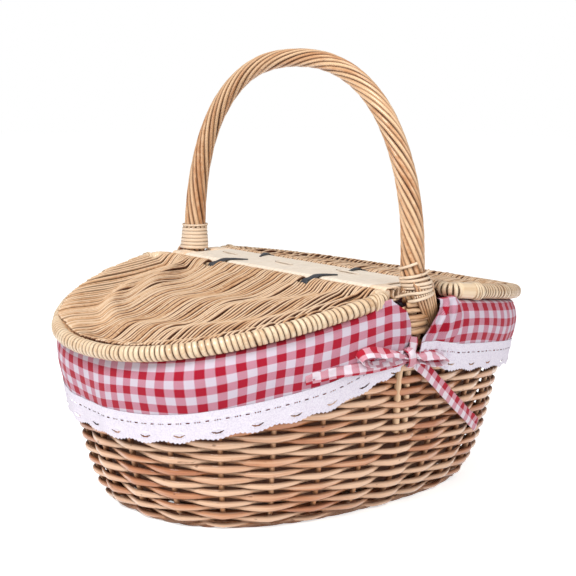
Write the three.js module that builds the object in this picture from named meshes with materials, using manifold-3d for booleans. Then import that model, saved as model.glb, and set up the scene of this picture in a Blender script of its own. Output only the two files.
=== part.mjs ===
// Oval willow picnic basket with two lids, a fixed arched handle and a tied cotton liner.
// Millimetres. +Z is up, the long axis is X and the handle's feet are on Y.
// The origin is on the ground, under the middle of the basket.

import * as THREE from 'three';
import Module from 'manifold-3d';
import { mergeVertices } from 'three/addons/utils/BufferGeometryUtils.js';

const wasm = await Module();
wasm.setup();

// Detail smaller than this is left out where solids are joined or cut.
const smallestStep = 0.06;

// Clearances
const seatGap = 0.3;
const weaveGap = 0.6;
const clothGap = 0.4;
const hingeGap = 0.9;
const slatGap = 2.1;

// Height of the lids' hinge line, which the rim, the bar and the handle's feet follow
const hingeHeight = 174.4;

// Wall: the surface through the middle of the stakes
const baseHalfLength = 149;
const baseHalfWidth = 95;
const lengthFlare = 43;
const widthFlare = 46.6;
const flareHeight = 165;
const flareExponent = 0.45;
const outlineExponent = 2.5;

// Stakes and weavers
const stakeCount = 26;
const stakeRadius = 2;
const weaverCount = 18;
const weaverThickness = 2.8;
const weaverFill = 0.88;
const weaverStart = 16.5;
const rimFollowing = 1.5;

// Base
const footHeight = 5.6;
const footWidth = 6.8;
const footFlat = 4;
const baseHeight = 8;
const baseHoopInset = 13;
const baseHoopRadius = 2.4;
const shortStickCount = 7;
const shortStickPitch = 20;
const longStickCount = 3;
const longStickPitch = 7.5;
const baseWeaverCount = 5;
const baseWeaverWidth = 8;
const baseWeaverPitch = 12;
const baseWeaverInset = 22;

// Rim border
const borderRadius = 4.2;

// Handle: an arch of twisted rods
const archHalfWidth = 135.5;
const springRise = 11.6;
const archTop = 350;
const archExponent = 2.33;
const handleFootRadius = 9.7;
const handleTopRadius = 7.5;
const rodLobes = 7;
const lobeDepth = 1.3;
const handleTwist = -3.4;
const handleSteps = 36;
const legRadius = 2.3;
const legExtra = 1.6;
const legSpread = 2.9;
const legEnd = 66;
const splayRodCount = 3;
const splayRodRadius = 2.2;
const splayPitch = 5.2;
const splayEnd = 138;

// Wound collars at the handle's feet
const collarTurns = 6;
const collarSteps = 12;
const collarRodRadius = 1.6;
const collarPitch = 3.9;
const collarRise = 3.5;
const nearCollarDrop = 8;

// Cross bar between the handle's feet
const barRise = 6.1;
const barHalfWidth = 27.5;
const barSlatThickness = 8;
const barWrapThickness = 1.2;
const barWrapHalfLength = 118;

// Lids
const lidHalfWidth = 143.4;
const lidExponent = 2.15;
const frontLidReach = 166;
const backLidReach = 171;
const frontDroop = 28;
const frontCurve = 12;
const backDroop = 18.5;
const backCurve = 6.5;
const lidRodRadius = 3.2;
const lidBindingRadius = 6;
const lidCornerRadius = 9;
const lidArcSteps = 22;
const lidWeaveThickness = 2.4;
const curlTail = 6;

// Waves of the lids' weave: half ovals round the middle of the hinge. Each whole number is a trough.
const waveReach = 42;
const waveReachGrowth = 71.5;
const waveReachBend = 9.5;
const waveWidth = 86;
const waveWidthGrowth = 29.5;
const waveWidthBend = 3.5;
const waveHeight = 2.3;
const waveStart = -0.4;
const waveCount = 3;
const rimRise = 5.8;
const hingeBlend = 12;

// Ribs: a pair under each crest
const ribRadius = 2;
const ribOffset = 0.15;
const ribEnd = 8;
const ribSteps = 10;
const bindingStart = 9.5;

// Straps that hang the lids on the bar
const strapWidth = 8;
const strapThickness = 1.2;
const strapGap = 0.7;
const strapHalfSpacing = 59;
const frontStrapShift = 3;
const backStrapShift = 12;
const strapReach = 21;

// Liner
const clothThickness = 1;
const linerColumns = 40;
const frontFlapDrop = 38;
const backFlapDrop = 31;
const foldDepth = 1.4;
const foldCount = 10;
const linerTop = 12;
const linerCornerInset = 8;
const linerFloorInset = 70;

// Lace
const laceWidth = 21.5;
const laceThickness = 0.8;
const scallopCount = 18;
const scallopDepth = 3;

// Bows
const bowDrop = 50.4;
const bowKnotRadius = 6.5;
const bowLoopLength = 44;
const bowLoopDepth = 11;
const ribbonWidth = 13;
const ribbonThickness = 1.2;
const shortTailLength = 96;
const longTailRun = 62;
const longTailDrop = 50;

const archSpring = hingeHeight + springRise;
const barTop = hingeHeight + barRise;
const collarBottom = barTop + collarRise;
const bowHeight = hingeHeight - bowDrop;

const X = new THREE.Vector3(1, 0, 0);
const Y = new THREE.Vector3(0, 1, 0);
const Z = new THREE.Vector3(0, 0, 1);
const point = (x, y, z) => new THREE.Vector3(x, y, z);
const range = (count) => Array.from({ length: count }, (_, i) => i);

// Solids

// A closed body from points and triangles, turned so that its faces point outward.
function solid(points, index) {
  let volume = 0;
  for (let i = 0; i < index.length; i += 3) {
    const [a, b, c] = [points[index[i]], points[index[i + 1]], points[index[i + 2]]];
    volume += a.dot(new THREE.Vector3().crossVectors(b, c));
  }
  if (volume < 0) {
    index.reverse();
  }
  const geometry = new THREE.BufferGeometry().setFromPoints(points);
  geometry.setIndex(index);
  return geometry;
}

// A skin over a row of sections that all have the same number of points.
function loft(sections, ring = false) {
  const count = sections.length;
  const sides = sections[0].length;
  const points = sections.flat();
  const index = [];
  const spans = ring ? count : count - 1;
  for (let i = 0; i < spans; i++) {
    for (let j = 0; j < sides; j++) {
      const a = i * sides + j;
      const b = i * sides + ((j + 1) % sides);
      const c = ((i + 1) % count) * sides + j;
      const d = ((i + 1) % count) * sides + ((j + 1) % sides);
      index.push(a, b, d, a, d, c);
    }
  }
  if (!ring) {
    for (const [start, turn] of [[0, 1], [(count - 1) * sides, -1]]) {
      const middle = points.length;
      const centre = point(0, 0, 0);
      for (let j = 0; j < sides; j++) {
        centre.addScaledVector(points[start + j], 1 / sides);
      }
      points.push(centre);
      for (let j = 0; j < sides; j++) {
        const next = start + ((j + 1) % sides);
        index.push(...(turn > 0 ? [middle, next, start + j] : [middle, start + j, next]));
      }
    }
  }
  return solid(points, index);
}

// A rod along a line of points. The radius may change along the rod and round it.
function rod(path, radius, sides, { ring = false, reference = Z, turn = () => 0 } = {}) {
  const count = path.length;
  const sections = path.map((centre, i) => {
    const before = path[ring ? (i + count - 1) % count : Math.max(i - 1, 0)];
    const after = path[ring ? (i + 1) % count : Math.min(i + 1, count - 1)];
    const along = after.clone().sub(before).normalize();
    const side = new THREE.Vector3().crossVectors(reference, along).normalize();
    const up = new THREE.Vector3().crossVectors(along, side);
    return range(sides).map((j) => {
      const angle = (2 * Math.PI * (j + 0.5)) / sides + turn(i);
      const r = typeof radius === 'function' ? radius(i, j) : radius;
      return centre.clone()
        .addScaledVector(side, r * Math.cos(angle))
        .addScaledVector(up, r * Math.sin(angle));
    });
  });
  return loft(sections, ring);
}

// A flat strand: each stop gives its centre and the half-size vectors of its section.
function strand(stops, ring = false) {
  return loft(stops.map(({ centre, across, through }) => [
    centre.clone().add(across).add(through),
    centre.clone().sub(across).add(through),
    centre.clone().sub(across).sub(through),
    centre.clone().add(across).sub(through),
  ]), ring);
}

function manifold(geometry) {
  const merged = mergeVertices(geometry, 1e-4);
  return new wasm.Manifold(new wasm.Mesh({
    numProp: 3,
    vertProperties: new Float32Array(merged.attributes.position.array),
    triVerts: new Uint32Array(merged.index.array),
  }));
}

function geometryOf(body) {
  const mesh = body.simplify(smallestStep).getMesh();
  const geometry = new THREE.BufferGeometry();
  geometry.setAttribute('position', new THREE.BufferAttribute(mesh.vertProperties, 3));
  geometry.setIndex(new THREE.BufferAttribute(mesh.triVerts, 1));
  return geometry;
}

// Joins solids into one body.
function join(geometries) {
  return geometryOf(geometries.map(manifold).reduce((whole, next) => whole.add(next)));
}

function cut(geometry, cutters) {
  const whole = manifold(geometry);
  return geometryOf(cutters.map(manifold).reduce((rest, cutter) => rest.subtract(cutter), whole));
}

function block(low, high) {
  const size = high.clone().sub(low);
  const geometry = new THREE.BoxGeometry(size.x, size.y, size.z);
  geometry.deleteAttribute('normal');
  geometry.deleteAttribute('uv');
  geometry.translate((low.x + high.x) / 2, (low.y + high.y) / 2, (low.z + high.z) / 2);
  return geometry;
}

// Outlines

function ovalPoint(a, b, exponent, turn) {
  const c = Math.cos(turn);
  const s = Math.sin(turn);
  return [
    a * Math.sign(c) * Math.abs(c) ** (2 / exponent),
    b * Math.sign(s) * Math.abs(s) ** (2 / exponent),
  ];
}

// A point of the wall at a turn round the oval and a height, moved out by the offset.
function wallPoint(turn, z, offset = 0) {
  const rise = (Math.max(z, 0) / flareHeight) ** flareExponent;
  const a = baseHalfLength + lengthFlare * rise + offset;
  const b = baseHalfWidth + widthFlare * rise + offset;
  const [x, y] = ovalPoint(a, b, outlineExponent, turn);
  return point(x, y, z);
}

// Turns that divide the wall into equal lengths, counted from the handle's foot at +Y.
function equalTurns(count, shift = 0) {
  const fine = 1440;
  const height = flareHeight / 3;
  const lengths = [0];
  for (let i = 1; i <= fine; i++) {
    const from = wallPoint(Math.PI / 2 + (2 * Math.PI * (i - 1)) / fine, height);
    const to = wallPoint(Math.PI / 2 + (2 * Math.PI * i) / fine, height);
    lengths.push(lengths[i - 1] + from.distanceTo(to));
  }
  return range(count).map((k) => {
    const wanted = (lengths[fine] * (k + shift)) / count;
    const i = Math.max(1, lengths.findIndex((length) => length >= wanted));
    const part = (wanted - lengths[i - 1]) / (lengths[i] - lengths[i - 1]);
    return Math.PI / 2 + (2 * Math.PI * (i - 1 + part)) / fine;
  });
}

// The way up the slope of the wall at a turn and a height
function upward(turn, z) {
  const step = 0.5;
  return wallPoint(turn, z + step).sub(wallPoint(turn, z - step)).normalize();
}

// The level way out of the wall at a turn
function outward(turn, z) {
  const step = 0.01;
  const along = wallPoint(turn + step, z).sub(wallPoint(turn - step, z));
  return new THREE.Vector3().crossVectors(along, Z).normalize();
}

const lids = [
  { name: 'front', sign: -1, reach: frontLidReach, droop: frontDroop, curve: frontCurve,
    shift: frontStrapShift, hem: frontFlapDrop },
  { name: 'back', sign: 1, reach: backLidReach, droop: backDroop, curve: backCurve,
    shift: backStrapShift, hem: backFlapDrop },
];
const curlRadius = (lidRodRadius + seatGap + lidWeaveThickness / 2) / Math.cos(Math.PI / 6);
const hingeX = barHalfWidth + hingeGap + curlRadius + lidWeaveThickness / 2;

// How far a lid has dropped below its hinge at a distance from it
function lidDrop(lid, distance) {
  const part = Math.max(distance, 0) / lid.reach;
  return lid.droop * part + lid.curve * part * part;
}

function lidPoint(lid, distance, y, lift = 0) {
  return point(lid.sign * (hingeX + distance), y, hingeHeight - lidDrop(lid, distance) + lift);
}

// The border's centre follows the lids' rims.
const borderTop = hingeHeight - lidBindingRadius - 2 * clothGap - clothThickness;
function borderZ(x) {
  const lid = lids[x < 0 ? 0 : 1];
  return borderTop - borderRadius - lidDrop(lid, Math.abs(x) - hingeX);
}

function rimAt(turn, offset = 0) {
  let z = borderZ(0);
  for (let i = 0; i < 6; i++) {
    z = borderZ(wallPoint(turn, z).x);
  }
  return wallPoint(turn, z, offset);
}

const parts = new THREE.Group();
function add(name, geometry, color, roughness, metalness = 0) {
  const material = new THREE.MeshStandardMaterial({ color, roughness, metalness });
  const mesh = new THREE.Mesh(geometry, material);
  mesh.name = name;
  parts.add(mesh);
}

const willow = 0xc58f5f;
const willowDark = 0xb07a4c;
const peel = 0xe6cfa4;
const lidWillow = 0xd3a36e;
const handleWillow = 0xd6a774;

// Foot border: the plaited ring that the basket stands on
{
  const half = footWidth / 2;
  const flat = footFlat / 2;
  const sections = equalTurns(36).map((turn) => {
    const out = outward(turn, footHeight);
    const centre = wallPoint(turn, footHeight / 2);
    const at = (side, z) => centre.clone().addScaledVector(out, side).setZ(z);
    return [
      at(-flat, 0), at(flat, 0), at(half, footHeight / 2),
      at(flat, footHeight), at(-flat, footHeight), at(-half, footHeight / 2),
    ];
  });
  add('foot_border', loft(sections, true), peel, 0.55);
}

// Stakes and base sticks: the standing ribs and the cross of sticks that they grow from
const stakeTurns = equalTurns(stakeCount);
const isHandleStake = (k) => k === 0 || k === stakeCount / 2;
{
  const pieces = [];
  const lowest = baseHeight + stakeRadius + 4;
  stakeTurns.forEach((turn, k) => {
    const rim = rimAt(turn);
    const top = isHandleStake(k) ? legEnd - seatGap : rim.z - borderRadius - seatGap - stakeRadius / 2;
    const heights = [0, 0.06, 0.2, 0.5, 1].map((part) => lowest + (top - lowest) * part);
    const path = [
      wallPoint(turn, baseHeight, -baseHoopInset),
      wallPoint(turn, baseHeight, -stakeRadius),
      ...heights.map((z) => wallPoint(turn, z)),
    ];
    const side = new THREE.Vector3().crossVectors(outward(turn, top), Z);
    pieces.push(loft(path.map((centre, i) => {
      const before = path[Math.max(i - 1, 0)];
      const after = path[Math.min(i + 1, path.length - 1)];
      const along = after.clone().sub(before).normalize();
      const out = new THREE.Vector3().crossVectors(along, side).normalize();
      return [
        centre.clone().addScaledVector(side, stakeRadius),
        centre.clone().addScaledVector(out, stakeRadius),
        centre.clone().addScaledVector(side, -stakeRadius),
        centre.clone().addScaledVector(out, -stakeRadius),
      ];
    })));
  });
  const hoopTurns = equalTurns(stakeCount, 0.5);
  const hoop = hoopTurns.map((turn) => wallPoint(turn, baseHeight, -baseHoopInset));
  pieces.push(rod(hoop, baseHoopRadius, 4, { ring: true }));
  const hoopA = wallPoint(0, baseHeight, -baseHoopInset).x;
  const hoopB = wallPoint(Math.PI / 2, baseHeight, -baseHoopInset).y;
  for (const i of range(shortStickCount)) {
    const x = (i - (shortStickCount - 1) / 2) * shortStickPitch;
    const y = hoopB * (1 - Math.abs(x / hoopA) ** outlineExponent) ** (1 / outlineExponent);
    pieces.push(rod([point(x, -y, baseHeight), point(x, y, baseHeight)], stakeRadius, 4));
  }
  for (const i of range(longStickCount)) {
    const y = (i - (longStickCount - 1) / 2) * longStickPitch;
    const x = hoopA * (1 - Math.abs(y / hoopB) ** outlineExponent) ** (1 / outlineExponent);
    pieces.push(rod([point(-x, y, baseHeight), point(x, y, baseHeight)], stakeRadius, 4));
  }
  add('stake_frame', join(pieces), willowDark, 0.6);
}

// Base weavers: flat rounds that go over and under the base sticks
{
  const shortX = range(shortStickCount).map((i) => (i - (shortStickCount - 1) / 2) * shortStickPitch);
  const longY = range(longStickCount).map((i) => (i - (longStickCount - 1) / 2) * longStickPitch);
  for (const i of range(baseWeaverCount)) {
    const inset = baseWeaverInset + baseWeaverPitch * i;
    const a = wallPoint(0, baseHeight, -inset).x;
    const b = wallPoint(Math.PI / 2, baseHeight, -inset).y;
    const half = outlineExponent / 2;
    const crossings = [];
    const cross = (group, turn) => crossings.push({ group, turn });
    const outerLong = longY.at(-1);
    const end = Math.asin(Math.abs(outerLong / b) ** half);
    const sideCount = shortStickCount + 1;
    for (const side of [0, 1]) {
      shortX.forEach((x, k) => {
        const lean = Math.asin(Math.sign(x) * Math.abs(x / a) ** half);
        cross(side * sideCount + k, Math.PI * (side + 0.5) + lean);
      });
      cross(side * sideCount + shortStickCount, Math.PI * (side + 1) - end);
      cross(side * sideCount + shortStickCount, Math.PI * (side + 1) + end);
    }
    const lift = stakeRadius + weaveGap + weaverThickness / 2;
    const stops = crossings.map(({ group, turn }) => {
      const [x, y] = ovalPoint(a, b, outlineExponent, turn);
      return {
        centre: point(x, y, baseHeight + (((group + i) % 2) * 2 - 1) * lift),
        across: outward(turn, baseHeight).multiplyScalar(baseWeaverWidth / 2),
        through: Z.clone().multiplyScalar(weaverThickness / 2),
      };
    });
    add(`base_weaver_${i + 1}`, strand(stops, true), willow, 0.6);
  }
}

// Wall weavers: rounds of split willow, each in front of one stake and behind the next
{
  const reach = stakeRadius + weaveGap + weaverThickness / 2;
  const legReach = reach + legExtra;
  const topOf = (turn) => rimAt(turn).z - borderRadius - weaveGap;
  const full = topOf(Math.PI / 2) - weaverStart;
  const pitch = (turn, part) => {
    const dip = topOf(Math.PI / 2) - topOf(turn);
    return (full - rimFollowing * dip * part ** (rimFollowing - 1)) / (weaverCount - 0.5);
  };
  const heightOf = (turn, part) => {
    const dip = topOf(Math.PI / 2) - topOf(turn);
    const climb = (full * (weaverCount - 1) * part) / (weaverCount - 0.5);
    return weaverStart + climb - dip * part ** rimFollowing;
  };
  for (const i of range(weaverCount)) {
    const part = i / (weaverCount - 1);
    const stops = stakeTurns.map((turn, k) => {
      const z = heightOf(turn, part);
      const side = ((k + i) % 2) * 2 - 1;
      const up = upward(turn, z);
      const level = outward(turn, z);
      const out = level.addScaledVector(up, -level.dot(up)).normalize();
      return {
        centre: wallPoint(turn, z).addScaledVector(out, side * (isHandleStake(k) ? legReach : reach)),
        across: up.multiplyScalar((weaverFill * pitch(turn, part)) / 2),
        through: out.clone().multiplyScalar(weaverThickness / 2),
      };
    });
    add(`weaver_${String(i + 1).padStart(2, '0')}`, strand(stops, true), willow, 0.6);
  }
}

// Rim border: the rounded edge of the wall, in two lengths between the handle's legs
{
  const clear = legSpread + legRadius + seatGap;
  for (const lid of lids) {
    const turns = equalTurns(linerColumns, 0.5).filter((turn) => lid.sign * Math.cos(turn) > 0);
    const ends = [1, -1].map((end) => point(lid.sign * clear, end * rimAt(Math.PI / 2).y, borderZ(0)));
    const inner = turns.map((turn) => rimAt(turn)).sort((p, q) => q.y - p.y);
    add(`rim_border_${lid.name}`, rod([ends[0], ...inner, ends[1]], borderRadius, 6), willow, 0.6);
  }
}

// Handle: the twisted arch, its legs in the wall and the rods that spread over the rim
function archPoint(part) {
  const turn = Math.PI * part;
  const [y, z] = ovalPoint(archHalfWidth, archTop - archSpring, archExponent, turn);
  return point(0, y, archSpring + z);
}
const bundleBottom = borderTop + clothThickness + 2 * clothGap;
const bundleFootY = archHalfWidth + handleFootRadius * 0.35;
{
  const turnsAlong = range(handleSteps + 1).map((i) => i / handleSteps);
  const arch = turnsAlong.map(archPoint);
  const foot = (sign) => [
    point(0, sign * bundleFootY, bundleBottom),
    point(0, sign * (archHalfWidth + bundleFootY) / 2, (archSpring + bundleBottom) / 2),
  ];
  const path = [...foot(1), ...arch, ...foot(-1).reverse()];
  const size = (i) => {
    const rise = (path[i].z - bundleBottom) / (archTop - bundleBottom);
    return handleFootRadius + (handleTopRadius - handleFootRadius) * rise;
  };
  const lengths = [0];
  path.slice(1).forEach((p, i) => lengths.push(lengths[i] + p.distanceTo(path[i])));
  const total = lengths[lengths.length - 1];
  const bundle = rod(path, (i, j) => size(i) - (j % 2) * lobeDepth, 2 * rodLobes, {
    reference: X,
    turn: (i) => (2 * Math.PI * handleTwist * lengths[i]) / total,
  });
  const pieces = [bundle];
  for (const sign of [-1, 1]) {
    const turn = (sign * Math.PI) / 2;
    for (const side of [-1, 1]) {
      const heights = range(5).map((i) => legEnd + ((borderZ(0) - legEnd) * i) / 4);
      const leg = heights.map((z) => wallPoint(turn, z).setX(side * legSpread));
      leg.push(point(side * legSpread, sign * bundleFootY, bundleBottom + handleFootRadius));
      pieces.push(rod(leg, legRadius, 5, { reference: X }));
    }
    for (const i of range(splayRodCount)) {
      const x = (i - (splayRodCount - 1) / 2) * splayPitch;
      const clear = stakeRadius + weaveGap + weaverThickness + legExtra + clothGap + splayRodRadius;
      const over = wallPoint(turn, borderZ(0), clear);
      const end = wallPoint(turn, splayEnd, clear);
      pieces.push(rod([
        point(x * 0.6, sign * (bundleFootY + handleFootRadius * 0.3), bundleBottom + handleFootRadius),
        point(x * 0.8, over.y, bundleBottom + splayRodRadius),
        over.clone().setX(x),
        wallPoint(turn, (over.z + end.z) / 2, clear).setX(x),
        end.clone().setX(x),
      ], splayRodRadius, 5, { reference: X }));
    }
  }
  add('handle', join(pieces), handleWillow, 0.45);
}

// Collars: peel wound round each foot of the handle
{
  const steps = collarSteps;
  const peelHalf = collarRodRadius * Math.SQRT1_2;
  const lift = (handleFootRadius + seatGap + peelHalf) / Math.cos(Math.PI / steps);
  for (const [name, sign, drop] of [['near', -1, nearCollarDrop], ['far', 1, 0]]) {
    const path = range(collarTurns * steps + 1).map((i) => {
      const z = collarBottom - drop + collarRodRadius + (collarPitch * i) / steps;
      const rise = Math.max(z - archSpring, 0) / (archTop - archSpring);
      const lean = Math.max(archSpring - z, 0) / (archSpring - bundleBottom);
      const y = archHalfWidth * (1 - rise ** archExponent) ** (1 / archExponent)
        + lean * (bundleFootY - archHalfWidth);
      const angle = (2 * Math.PI * i) / steps;
      return point(lift * Math.cos(angle), sign * y + lift * Math.sin(angle), z);
    });
    let least = Infinity;
    path.forEach((a, i) => path.slice(i + steps - 2).forEach((b) => {
      least = Math.min(least, a.distanceTo(b) - 2 * collarRodRadius);
    }));
    console.log(`collar_${name}: least gap between turns ${least.toFixed(2)} mm`);
    add(`collar_${name}`, rod(path, collarRodRadius, 4), peel, 0.5);
  }
}

// Cross bar: a slat between the handle's feet, wound with flat peel
const wrapOut = barWrapThickness + seatGap;
const barBottom = barTop - barSlatThickness - 2 * wrapOut;
{
  const slatEnd = bundleFootY - handleFootRadius - 2 * collarRodRadius - slatGap;
  const low = point(-barHalfWidth + wrapOut, -slatEnd, barBottom + wrapOut);
  const high = point(barHalfWidth - wrapOut, slatEnd, barTop - wrapOut);
  add('bar_slat', block(low, high), peel, 0.6);
  const roundness = barWrapThickness;
  const outline = (shape, grow, corner) => {
    const w = barHalfWidth - wrapOut + grow;
    const h = barSlatThickness / 2 + grow;
    shape.moveTo(-w + corner, -h);
    shape.lineTo(w - corner, -h);
    shape.lineTo(w, -h + corner);
    shape.lineTo(w, h - corner);
    shape.lineTo(w - corner, h);
    shape.lineTo(-w + corner, h);
    shape.lineTo(-w, h - corner);
    shape.lineTo(-w, -h + corner);
    shape.closePath();
    return shape;
  };
  const section = outline(new THREE.Shape(), wrapOut, roundness);
  section.holes.push(outline(new THREE.Path(), seatGap, seatGap / 2));
  const wrap = new THREE.ExtrudeGeometry(section, {
    depth: 2 * barWrapHalfLength, steps: 1, bevelEnabled: false,
  });
  wrap.deleteAttribute('normal');
  wrap.deleteAttribute('uv');
  wrap.rotateX(Math.PI / 2);
  wrap.translate(0, barWrapHalfLength, (barTop + barBottom) / 2);
  add('bar_winding', mergeVertices(wrap, 1e-4), peel, 0.5);
}

// Turns from one end of the hinge round a lid to the other, closer together near the ends
function arcTurn(i) {
  return (Math.PI / 2) * Math.sin((Math.PI / 2) * ((2 * i) / lidArcSteps - 1));
}

// Lid outline as distances from the hinge and widths
function lidArc(lid, inset = 0) {
  return range(lidArcSteps + 1).map((i) => {
    const turn = arcTurn(i);
    const [distance, y] = ovalPoint(lid.reach - inset, lidHalfWidth - inset, lidExponent, turn);
    return [Math.abs(distance), y];
  });
}

// A tall block with the outline of the space inside a lid's binding
function lidInside(lid) {
  const inset = lidBindingRadius + seatGap;
  const shape = new THREE.Shape();
  const back = -2 * lidBindingRadius;
  const half = lidHalfWidth - inset;
  shape.moveTo(back, -half);
  lidArc(lid, inset).forEach(([distance, y]) => shape.lineTo(distance, y));
  shape.lineTo(back, half);
  const low = hingeHeight - lid.droop - lid.curve - 4 * lidBindingRadius;
  const depth = lid.droop + lid.curve + 8 * lidBindingRadius;
  const geometry = new THREE.ExtrudeGeometry(shape, { depth, steps: 1, bevelEnabled: false });
  geometry.deleteAttribute('normal');
  geometry.deleteAttribute('uv');
  geometry.translate(hingeX, 0, low);
  if (lid.sign < 0) {
    geometry.rotateZ(Math.PI);
  }
  return manifold(geometry);
}

// Reach and half width of the oval at a place among the waves
function waveOval(place) {
  return [
    Math.max(waveReach + waveReachGrowth * place - waveReachBend * place * place, 0),
    waveWidth + waveWidthGrowth * place - waveWidthBend * place * place,
  ];
}

// Height of the weave over the lid's plane: straight slopes between troughs and crests, and
// a steeper one from the last trough up to the rim
function waveLift(place) {
  const nearest = Math.abs(place - Math.round(place));
  const beyond = Math.max(place - (waveCount - 1), 0);
  return waveHeight * (4 * nearest - 1) + rimRise * beyond;
}

for (const lid of lids) {
  // Frame rod: one willow rod bent into a D
  const arc = lidArc(lid).filter(([distance]) => distance > bindingStart);
  const bindingPath = arc.map(([distance, y]) => lidPoint(lid, distance, y));
  const corner = (sign) => [0.15, 0.5, 0.85].map((part) => {
    const angle = (Math.PI / 2) * part;
    const y = lidHalfWidth - lidCornerRadius * (1 - Math.cos(angle));
    return lidPoint(lid, lidCornerRadius * (1 - Math.sin(angle)), sign * y);
  });
  const loop = [...bindingPath, ...corner(1), ...corner(-1).reverse()];
  add(`lid_${lid.name}_frame`, rod(loop, lidRodRadius, 6, { ring: true }), peel, 0.55);

  // Binding: the peel sleeve wound on the frame's curved part
  const extend = (path, more) => {
    const first = path[0].clone().sub(path[1]).setLength(more).add(path[0]);
    const last = path.at(-1).clone().sub(path.at(-2)).setLength(more).add(path.at(-1));
    return [first, ...path, last];
  };
  const bore = rod(extend(bindingPath, lidBindingRadius), lidRodRadius + seatGap, 6);
  add(`lid_${lid.name}_binding`, cut(rod(bindingPath, lidBindingRadius, 6), [bore]), peel, 0.5);

  // Weave: a sheet of fine rods that waves over the ribs and curls round the hinge rod
  const inside = lidInside(lid);
  const half = lidWeaveThickness / 2;
  const overlap = lidWeaveThickness;
  const curl = new THREE.Shape();
  const bends = [270, 210, 150, 90].map((degrees) => (degrees * Math.PI) / 180);
  const curlAt = (angle, radius) => [radius * Math.cos(angle), radius * Math.sin(angle)];
  const rise = (u) => -lidDrop(lid, u);
  curl.moveTo(curlTail, -curlRadius - half);
  bends.forEach((angle) => curl.lineTo(...curlAt(angle, curlRadius + half)));
  curl.lineTo(overlap, curlRadius + half + rise(overlap));
  curl.lineTo(overlap, curlRadius - half + rise(overlap));
  bends.toReversed().forEach((angle) => curl.lineTo(...curlAt(angle, curlRadius - half)));
  curl.lineTo(curlTail, -curlRadius + half);
  const edgeHalf = lidHalfWidth - lidCornerRadius;
  const edge = new THREE.ExtrudeGeometry(curl, { depth: 2 * edgeHalf, steps: 1, bevelEnabled: false });
  edge.deleteAttribute('normal');
  edge.deleteAttribute('uv');
  edge.rotateX(Math.PI / 2);
  edge.translate(hingeX, edgeHalf, hingeHeight);
  if (lid.sign < 0) {
    edge.rotateZ(Math.PI);
  }
  const places = [-1, waveStart, ...range(2 * waveCount + 1).map((i) => i / 2)];
  const sections = range(lidArcSteps + 1).map((i) => {
    const turn = arcTurn(i);
    const line = places.map((place) => {
      const [reach, width] = waveOval(place);
      const u = reach * Math.cos(turn);
      const near = Math.max(0, 1 - u / hingeBlend);
      const wave = waveLift(place);
      return [u, width * Math.sin(turn), wave + (curlRadius - wave) * near * near * (3 - 2 * near)];
    });
    return [
      ...line.map(([u, y, w]) => lidPoint(lid, u, y, w + half)),
      ...line.toReversed().map(([u, y, w]) => lidPoint(lid, u, y, w - half)),
    ];
  });
  const tall = hingeHeight;
  const clear = block(point(-tall * 2, -edgeHalf, 0), point(tall * 2, edgeHalf, tall * 2));
  const sheet = manifold(loft(sections)).intersect(manifold(clear));
  const weave = manifold(edge).add(sheet).intersect(inside);
  const slot = strapWidth / 2 + strapGap;
  const notch = curlRadius + lidWeaveThickness + 3;
  const notches = [-1, 1].map((sign) => {
    const y = lid.shift + sign * strapHalfSpacing;
    const xs = [lid.sign * (hingeX - notch), lid.sign * (hingeX + notch)].sort((p, q) => p - q);
    const low = point(xs[0], y - slot, hingeHeight - notch);
    return block(low, point(xs[1], y + slot, hingeHeight + notch));
  });
  const notched = notches.map(manifold).reduce((rest, next) => rest.subtract(next), weave);
  add(`lid_${lid.name}_weave`, geometryOf(notched), lidWillow, 0.55);

  // Ribs: rods bent to the waves, in pairs that carry the weave's crests
  const crests = range(waveCount - 1).map((i) => i + 0.5);
  crests.flatMap((crest) => [crest - ribOffset, crest + ribOffset]).forEach((place, i) => {
    const [reach, width] = waveOval(place);
    const last = Math.acos(ribEnd / reach);
    const drop = half + weaveGap + ribRadius;
    const path = range(ribSteps + 1).map((k) => {
      const turn = last * ((2 * k) / ribSteps - 1);
      return lidPoint(lid, reach * Math.cos(turn), width * Math.sin(turn), waveLift(place) - drop);
    });
    add(`lid_${lid.name}_rib_${i + 1}`, rod(path, ribRadius, 5), lidWillow, 0.55);
  });

  // Straps: each loops round the hinge rod and is held above and below the bar
  for (const [i, sign] of [[1, 1], [2, -1]]) {
    const y = lid.shift + sign * strapHalfSpacing;
    const half = strapThickness / 2;
    const loop = (lidRodRadius + seatGap + half) / Math.cos(Math.PI / 8);
    const above = barTop + seatGap + half;
    const below = barBottom - seatGap - half;
    const edge = barHalfWidth;
    const line = [[edge - strapReach, above], [edge, above]];
    for (const degrees of [112, 67, 22, -22, -67, -112]) {
      const angle = (degrees * Math.PI) / 180;
      line.push([hingeX + loop * Math.cos(angle), hingeHeight + loop * Math.sin(angle)]);
    }
    line.push([edge, below], [edge - strapReach / 2, below]);
    const normals = line.map((p, k) => {
      const before = line[Math.max(k - 1, 0)];
      const after = line[Math.min(k + 1, line.length - 1)];
      const length = Math.hypot(after[0] - before[0], after[1] - before[1]);
      return [-(after[1] - before[1]) / length, (after[0] - before[0]) / length];
    });
    const stops = line.map(([x, z], k) => ({
      centre: point(lid.sign * x, y, z),
      across: Y.clone().multiplyScalar(strapWidth / 2),
      through: point(lid.sign * normals[k][0] * half, 0, normals[k][1] * half),
    }));
    add(`strap_${lid.name}_${i}`, strand(stops), 0x23262b, 0.5);
  }
}

// Liner: a cotton bag that lines the wall, folds over the rim and hangs outside it
const weaveHalf = stakeRadius + weaveGap + weaverThickness;
const linerIn = -(weaveHalf + legExtra + clothGap);
const linerOut = weaveHalf + legExtra + clothGap;
const linerFloor = baseHeight + stakeRadius + weaveGap + weaverThickness + clothGap;
function fold(k, count) {
  return foldDepth * (1 + Math.sin((2 * Math.PI * foldCount * k) / count));
}

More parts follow.
